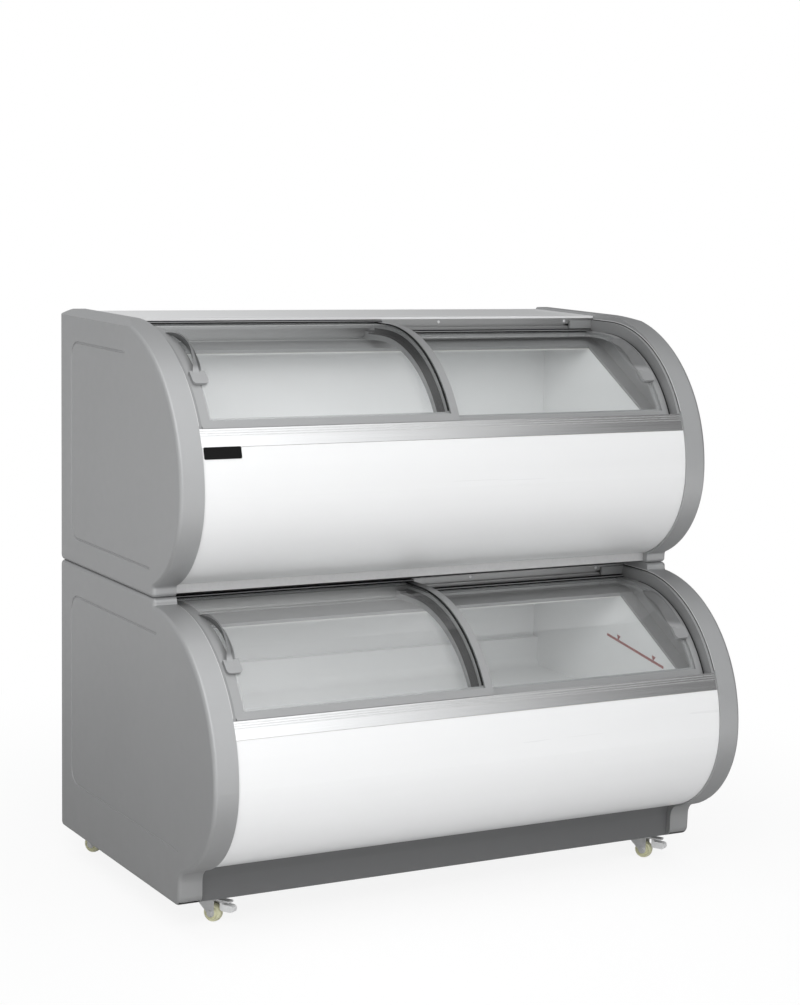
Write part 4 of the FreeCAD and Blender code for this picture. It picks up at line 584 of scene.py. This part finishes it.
# A head's form, as shares of its radius or height
HEAD_TAPER = 0.72
DOME_INSET = 0.30
DOME_RISE = 0.15
RECESS_INSET = 0.06
RECESS_DEPTH = 0.5


def screw_head(bm, point, outward, radius, height):
    """A low domed head with a round driver recess, facing outward."""
    turn = Vector(outward).to_track_quat("Z", "Y").to_matrix().to_4x4()
    place = Matrix.Translation(point) @ turn
    middle = place @ Matrix.Translation((0, 0, height / 2))
    made = bmesh.ops.create_cone(bm, cap_ends=True, segments=20, radius1=radius,
                                 radius2=radius * HEAD_TAPER, depth=height, matrix=middle)["verts"]
    axis = Vector(outward).normalized()
    faces = {f for v in made for f in v.link_faces}
    cap = max(faces, key=lambda f: f.calc_center_median().dot(axis))
    bmesh.ops.inset_region(bm, faces=[cap], thickness=radius * DOME_INSET)
    bmesh.ops.translate(bm, verts=list(cap.verts), vec=axis * (height * DOME_RISE))
    bmesh.ops.inset_region(bm, faces=[cap], thickness=radius * RECESS_INSET)
    bmesh.ops.translate(bm, verts=list(cap.verts), vec=-axis * (height * RECESS_DEPTH))


def screws(name, points, outward, radius, height):
    """One piece of several zinc heads."""
    bm = bmesh.new()
    for point in points:
        screw_head(bm, point, outward, radius, height)
    finished(name, bm, "cabinet", "zinc")


def rail_screws(deck):
    """Flat heads on the land above the outer rear track."""
    face = deck.y + RAIL_BACKSET
    level = deck.z + OUTER_LID - RAIL_SCREW_DROP
    points = [(x, face, level) for x in RAIL_SCREWS]
    screws(deck.name + "_rail_screws", points, (0, -1, 0), *RAIL_HEAD)


for cabinet in (LOWER, UPPER):
    rail_screws(cabinet)


def back_screws():
    """Sheet screws round the back panels and the grille."""
    points = []
    for node in ("lower_back_panel", "upper_back_panel", "rear_grille"):
        low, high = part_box(node)
        for x in (low.x + SIDE_MARGIN, high.x - SIDE_MARGIN):
            for n in range(3):
                z = low.z + END_MARGIN + (high.z - low.z - 2 * END_MARGIN) * n / 2
                points.append((x, high.y, z))
        for x in BACK_SCREWS:
            points.append((x, high.y, high.z - TOP_MARGIN))
    screws("back_screws", points, (0, 1, 0), *BACK_HEAD)


back_screws()


# The plate: its two ends, half its height, its place on the round front and the form of its edge
PLATE_LEFT = -0.5915
PLATE_RIGHT = -0.5080
PLATE_HALF = 0.0125
PLATE_ANGLE = 16.3
PLATE_STAND = 0.0004
PLATE_FRONT = 0.0006
PLATE_BACK = 0.0014
PLATE_CORNER = 0.003
PLATE_BEVEL = 0.0016


def front_plate():
    """Plain dark plate at the upper left of the upper front sheet."""
    bm = bmesh.new()
    bar(bm, (PLATE_LEFT, -PLATE_FRONT, -PLATE_HALF), (PLATE_RIGHT, PLATE_BACK, PLATE_HALF))
    through = [e for e in bm.edges if abs(e.verts[0].co.y - e.verts[1].co.y) > PLATE_FRONT]
    bmesh.ops.bevel(bm, geom=through, offset=PLATE_CORNER, affect="EDGES", segments=4, profile=0.5,
                    material=-1)
    front = [f for f in bm.faces if f.normal.y < -0.9 or f.calc_center_median().y < -0.0005]
    bmesh.ops.inset_region(bm, faces=front, thickness=PLATE_BEVEL)
    raised = list({v for f in front for v in f.verts})
    bmesh.ops.translate(bm, verts=raised, vec=(0, -PLATE_FRONT, 0))
    lean = Matrix.Rotation(-math.radians(PLATE_ANGLE), 3, "X")
    bmesh.ops.rotate(bm, verts=bm.verts, cent=(0, 0, 0), matrix=lean)
    place = UPPER.round(0, FRONT_RADIUS + PLATE_STAND, PLATE_ANGLE)
    bmesh.ops.translate(bm, verts=bm.verts, vec=place)
    finished("front_plate", bm, "cabinet", "black_plastic", PLATE_LACQUER)


front_plate()


# The fill line: its two ends, half its width, how far the ink stands out, and its triangles
LINE_REAR = Vector((INNER_WALL, BACK - 0.436, 0.505))
LINE_FRONT = Vector((INNER_WALL, BACK - 0.664, 0.470))
LINE_HALF = 0.0030
INK_STAND = 0.0004
INK_SINK = 0.0002
TIP_RADIUS = 0.0085
TIP_SHARES = (0.2, 0.82)


def load_line():
    """Red fill line on the inner right wall of the lower tub, with two small triangles above it."""
    bm = bmesh.new()
    along = LINE_FRONT - LINE_REAR
    tilt = math.atan2(along.z, along.y)
    bar(bm, (-INK_STAND, 0, -LINE_HALF), (INK_SINK, along.length, LINE_HALF))
    flat = Matrix.Rotation(math.pi / 2, 4, "Y")
    for share in TIP_SHARES:
        middle = Vector(((INK_SINK - INK_STAND) / 2, along.length * share, -TIP_RADIUS))
        tip = bmesh.ops.create_cone(bm, cap_ends=True, segments=3, radius1=TIP_RADIUS,
                                    radius2=TIP_RADIUS, depth=INK_STAND + INK_SINK,
                                    matrix=Matrix.Translation(middle) @ flat)["verts"]
        bmesh.ops.rotate(bm, verts=tip, cent=middle, matrix=Matrix.Rotation(math.pi / 2, 3, "X"))
    bmesh.ops.rotate(bm, verts=bm.verts, cent=(0, 0, 0), matrix=Matrix.Rotation(tilt, 3, "X"))
    bmesh.ops.translate(bm, verts=bm.verts, vec=LINE_REAR)
    finished("load_line", bm, "cabinet", "liner_plastic", RED_INK)


load_line()


# The dial: its first angle and step in degrees, and its ticks and pointer in metres
DIAL_START = -135
DIAL_STEP = 45
TICKS = 7
TICK_HALF = 0.0009
TICK_SINK = 0.0002
TICK_STAND = 0.0003
TICK_FOOT = 0.0255
TICK_TOP = 0.0285
TICK_GROWTH = 0.0006
TICK_ROUND = 0.0001
POINTER_LOW = (-0.0011, -0.0003, 0.0030)
POINTER_HIGH = (0.0011, 0.0007, 0.0160)
POINTER_ROUND = 0.0003


def dial():
    """Ticks on the grille round the thermostat knob, and the knob's raised pointer."""
    low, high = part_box("thermostat_knob")
    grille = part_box("rear_grille")[1].y
    middle = (low + high) / 2
    ticks = bmesh.new()
    for n in range(TICKS):
        lean = Matrix.Rotation(math.radians(DIAL_STEP * n + DIAL_START), 4, "Y")
        turn = Matrix.Translation((middle.x, grille, middle.z)) @ lean
        begin = (-TICK_HALF, -TICK_SINK, TICK_FOOT)
        end = (TICK_HALF, TICK_STAND, TICK_TOP + TICK_GROWTH * n)
        rounded_bar(ticks, begin, end, TICK_ROUND, 1, turn)
    finished("dial_marks", ticks, "cabinet", "white_paint", WHITE_INK)
    pointer = bmesh.new()
    lean = Matrix.Rotation(math.radians(DIAL_START), 4, "Y")
    turn = Matrix.Translation((middle.x, high.y, middle.z)) @ lean
    rounded_bar(pointer, POINTER_LOW, POINTER_HIGH, POINTER_ROUND, 2, turn)
    finished("knob_pointer", pointer, "thermostat", "white_paint", WHITE_INK)


dial()


def caster_bolts():
    """Bolt heads under the four swivel plates."""
    points = []
    for name in ("front_left", "front_right", "rear_left", "rear_right"):
        pin = [j for j in frame["joints"] if j["name"] == name + "_swivel"][0]["pos_m"]
        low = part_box("caster_plates")[0].z
        for sx in (-1, 1):
            for sy in (-1, 1):
                points.append((pin[0] + sx * BOLT_SPREAD, pin[1] + sy * BOLT_SPREAD, low))
    screws("caster_bolts", points, (0, 0, -1), *BOLT_HEAD)


caster_bolts()


# Where the floor changes, in metres: round the freezer, in gloss, in front, to the right and left
NEAR_FADE = (0.9, 2.0)
GLOSS_FADE = (0.9, 4.5)
FRONT_FADE = (0.4, 1.6)
RIGHT_FADE = (1.2, 3.0)
LEFT_FADE = (-1.5, -0.3)

# Where the sky changes, as shares of a direction: the brightest part, the dim right and the back
WINDOW = (0.30, -0.66, 0.69)
WINDOW_FADE = (0.50, 0.90)
DIM_FADE = (0.42, 0.57)
BACK_FADE = (0.3, 0.8)


def floor():
    """Pale floor. In gloss it is dark near the freezer and bright further off."""
    bm = bmesh.new()
    bmesh.ops.create_grid(bm, x_segments=1, y_segments=1, size=30.0)
    mesh = bpy.data.meshes.new("floor")
    bm.to_mesh(mesh)
    bm.free()
    made = bpy.data.objects.new("floor", mesh)
    bpy.context.scene.collection.objects.link(made)
    f = Finish("studio floor")
    seen, mirrored = f.rays()
    reach = f.add("ShaderNodeVectorMath", {"operation": "LENGTH"}, {0: f.spot()}, "Value")
    far = f.faded(reach, *NEAR_FADE)
    pale = f.faded(f.along("X"), *LEFT_FADE)
    mottled = f.mixed(f.grain(3.0), grey(0.90), grey(0.93))
    cloth = f.shaded(Base_Color=f.mixed(pale, grey(0.72), mottled), Roughness=0.9)
    in_front = f.faded(0 - f.along("Y"), *FRONT_FADE)
    aside = f.faded(f.along("X"), *RIGHT_FADE)
    shine = 0.16 + 0.50 * f.faded(reach, *GLOSS_FADE) + 0.50 * in_front * (1 - 0.7 * aside)
    level = seen + mirrored * shine
    glow = f.add("ShaderNodeEmission", {}, {"Color": (1.0, 1.0, 1.0, 1.0), "Strength": level})
    share = seen * (0.88 + 0.12 * far) + mirrored * 0.8
    material = f.close(f.add("ShaderNodeMixShader", {}, {0: share, 1: cloth, 2: glow}))
    material.cycles.emission_sampling = "NONE"
    mesh.materials.append(material)


def sky():
    """White behind the object. The light itself is dimmer to the right and behind."""
    world = bpy.data.worlds.new("studio")
    bpy.context.scene.world = world
    world.use_nodes = True
    f = Finish("studio", world.node_tree)
    seen, mirrored = f.rays()
    toward = f.add("ShaderNodeTexCoord", output="Generated")
    to_right = f.add("ShaderNodeSeparateXYZ", {}, {0: toward}, "X")
    to_back = f.add("ShaderNodeSeparateXYZ", {}, {0: toward}, "Y")
    dim = f.faded(to_right + 0.04 * f.faded(to_back, *BACK_FADE), *DIM_FADE)
    near_window = f.add("ShaderNodeVectorMath", {"operation": "DOT_PRODUCT"}, {0: toward, 1: WINDOW},
                        "Value")
    level = (1 - 0.97 * dim) * (0.46 + 1.10 * f.faded(near_window, *WINDOW_FADE))
    fill = f.add("ShaderNodeBackground", {}, {"Color": (0.98, 0.99, 1.0, 1.0), "Strength": level})
    white = f.add("ShaderNodeBackground", {}, {"Color": (1.0, 1.0, 1.0, 1.0), "Strength": 1.0})
    mix = f.add("ShaderNodeMixShader", {}, {0: seen + 0.05 * mirrored, 1: fill, 2: white})
    f.add("ShaderNodeOutputWorld", {}, {"Surface": mix})


def lamp(name, place, target, size, power):
    """A soft lamp that lights the object and shows in no reflection."""
    data = bpy.data.lights.new(name, "AREA")
    data.shape = "RECTANGLE"
    data.size, data.size_y = size
    data.energy = power
    made = bpy.data.objects.new(name, data)
    made.location = place
    aim = Vector(target) - Vector(place)
    made.rotation_euler = aim.to_track_quat("-Z", "Y").to_euler()
    made.visible_glossy = False
    made.visible_camera = False
    bpy.context.scene.collection.objects.link(made)


floor()
sky()
lamp("key", (-2.2, -2.25, 2.45), (-0.3, -0.2, 0.9), (1.6, 1.6), 51.0)
lamp("ceiling", (-0.6, 0.0, 4.0), (-0.6, 0.0, 0.0), (3.4, 4.6), 34.0)
lamp("fill", (-1.2, -3.0, 0.18), (-0.1, -0.3, 0.30), (2.4, 0.3), 9.5)

# Camera at the photograph's angle
FOCUS = 2254.115
FRAME_HEIGHT = 1005.0
AXIS_ROW = 637.885
YAW = 0.5202008
PITCH = 0.2025019
ROLL = 0.0292987
EYE = (-2.472733, -4.316031, 1.555210)
ahead = Vector((math.sin(YAW) * math.cos(PITCH), math.cos(YAW) * math.cos(PITCH), -math.sin(PITCH)))
level_right = Vector((math.cos(YAW), -math.sin(YAW), 0.0))
level_up = level_right.cross(ahead)
right = math.cos(ROLL) * level_right + math.sin(ROLL) * level_up
up = -math.sin(ROLL) * level_right + math.cos(ROLL) * level_up
lens = bpy.data.cameras.new("camera")
lens.sensor_width = 36.0
lens.lens = FOCUS / FRAME_HEIGHT * lens.sensor_width
lens.shift_y = (AXIS_ROW - FRAME_HEIGHT / 2) / FRAME_HEIGHT
camera = bpy.data.objects.new("camera", lens)
turn = Matrix((right, up, -ahead)).transposed()
camera.matrix_world = Matrix.Translation(EYE) @ turn.to_4x4()
bpy.context.scene.collection.objects.link(camera)
bpy.context.scene.camera = camera
bpy.context.scene.view_settings.view_transform = "Standard"
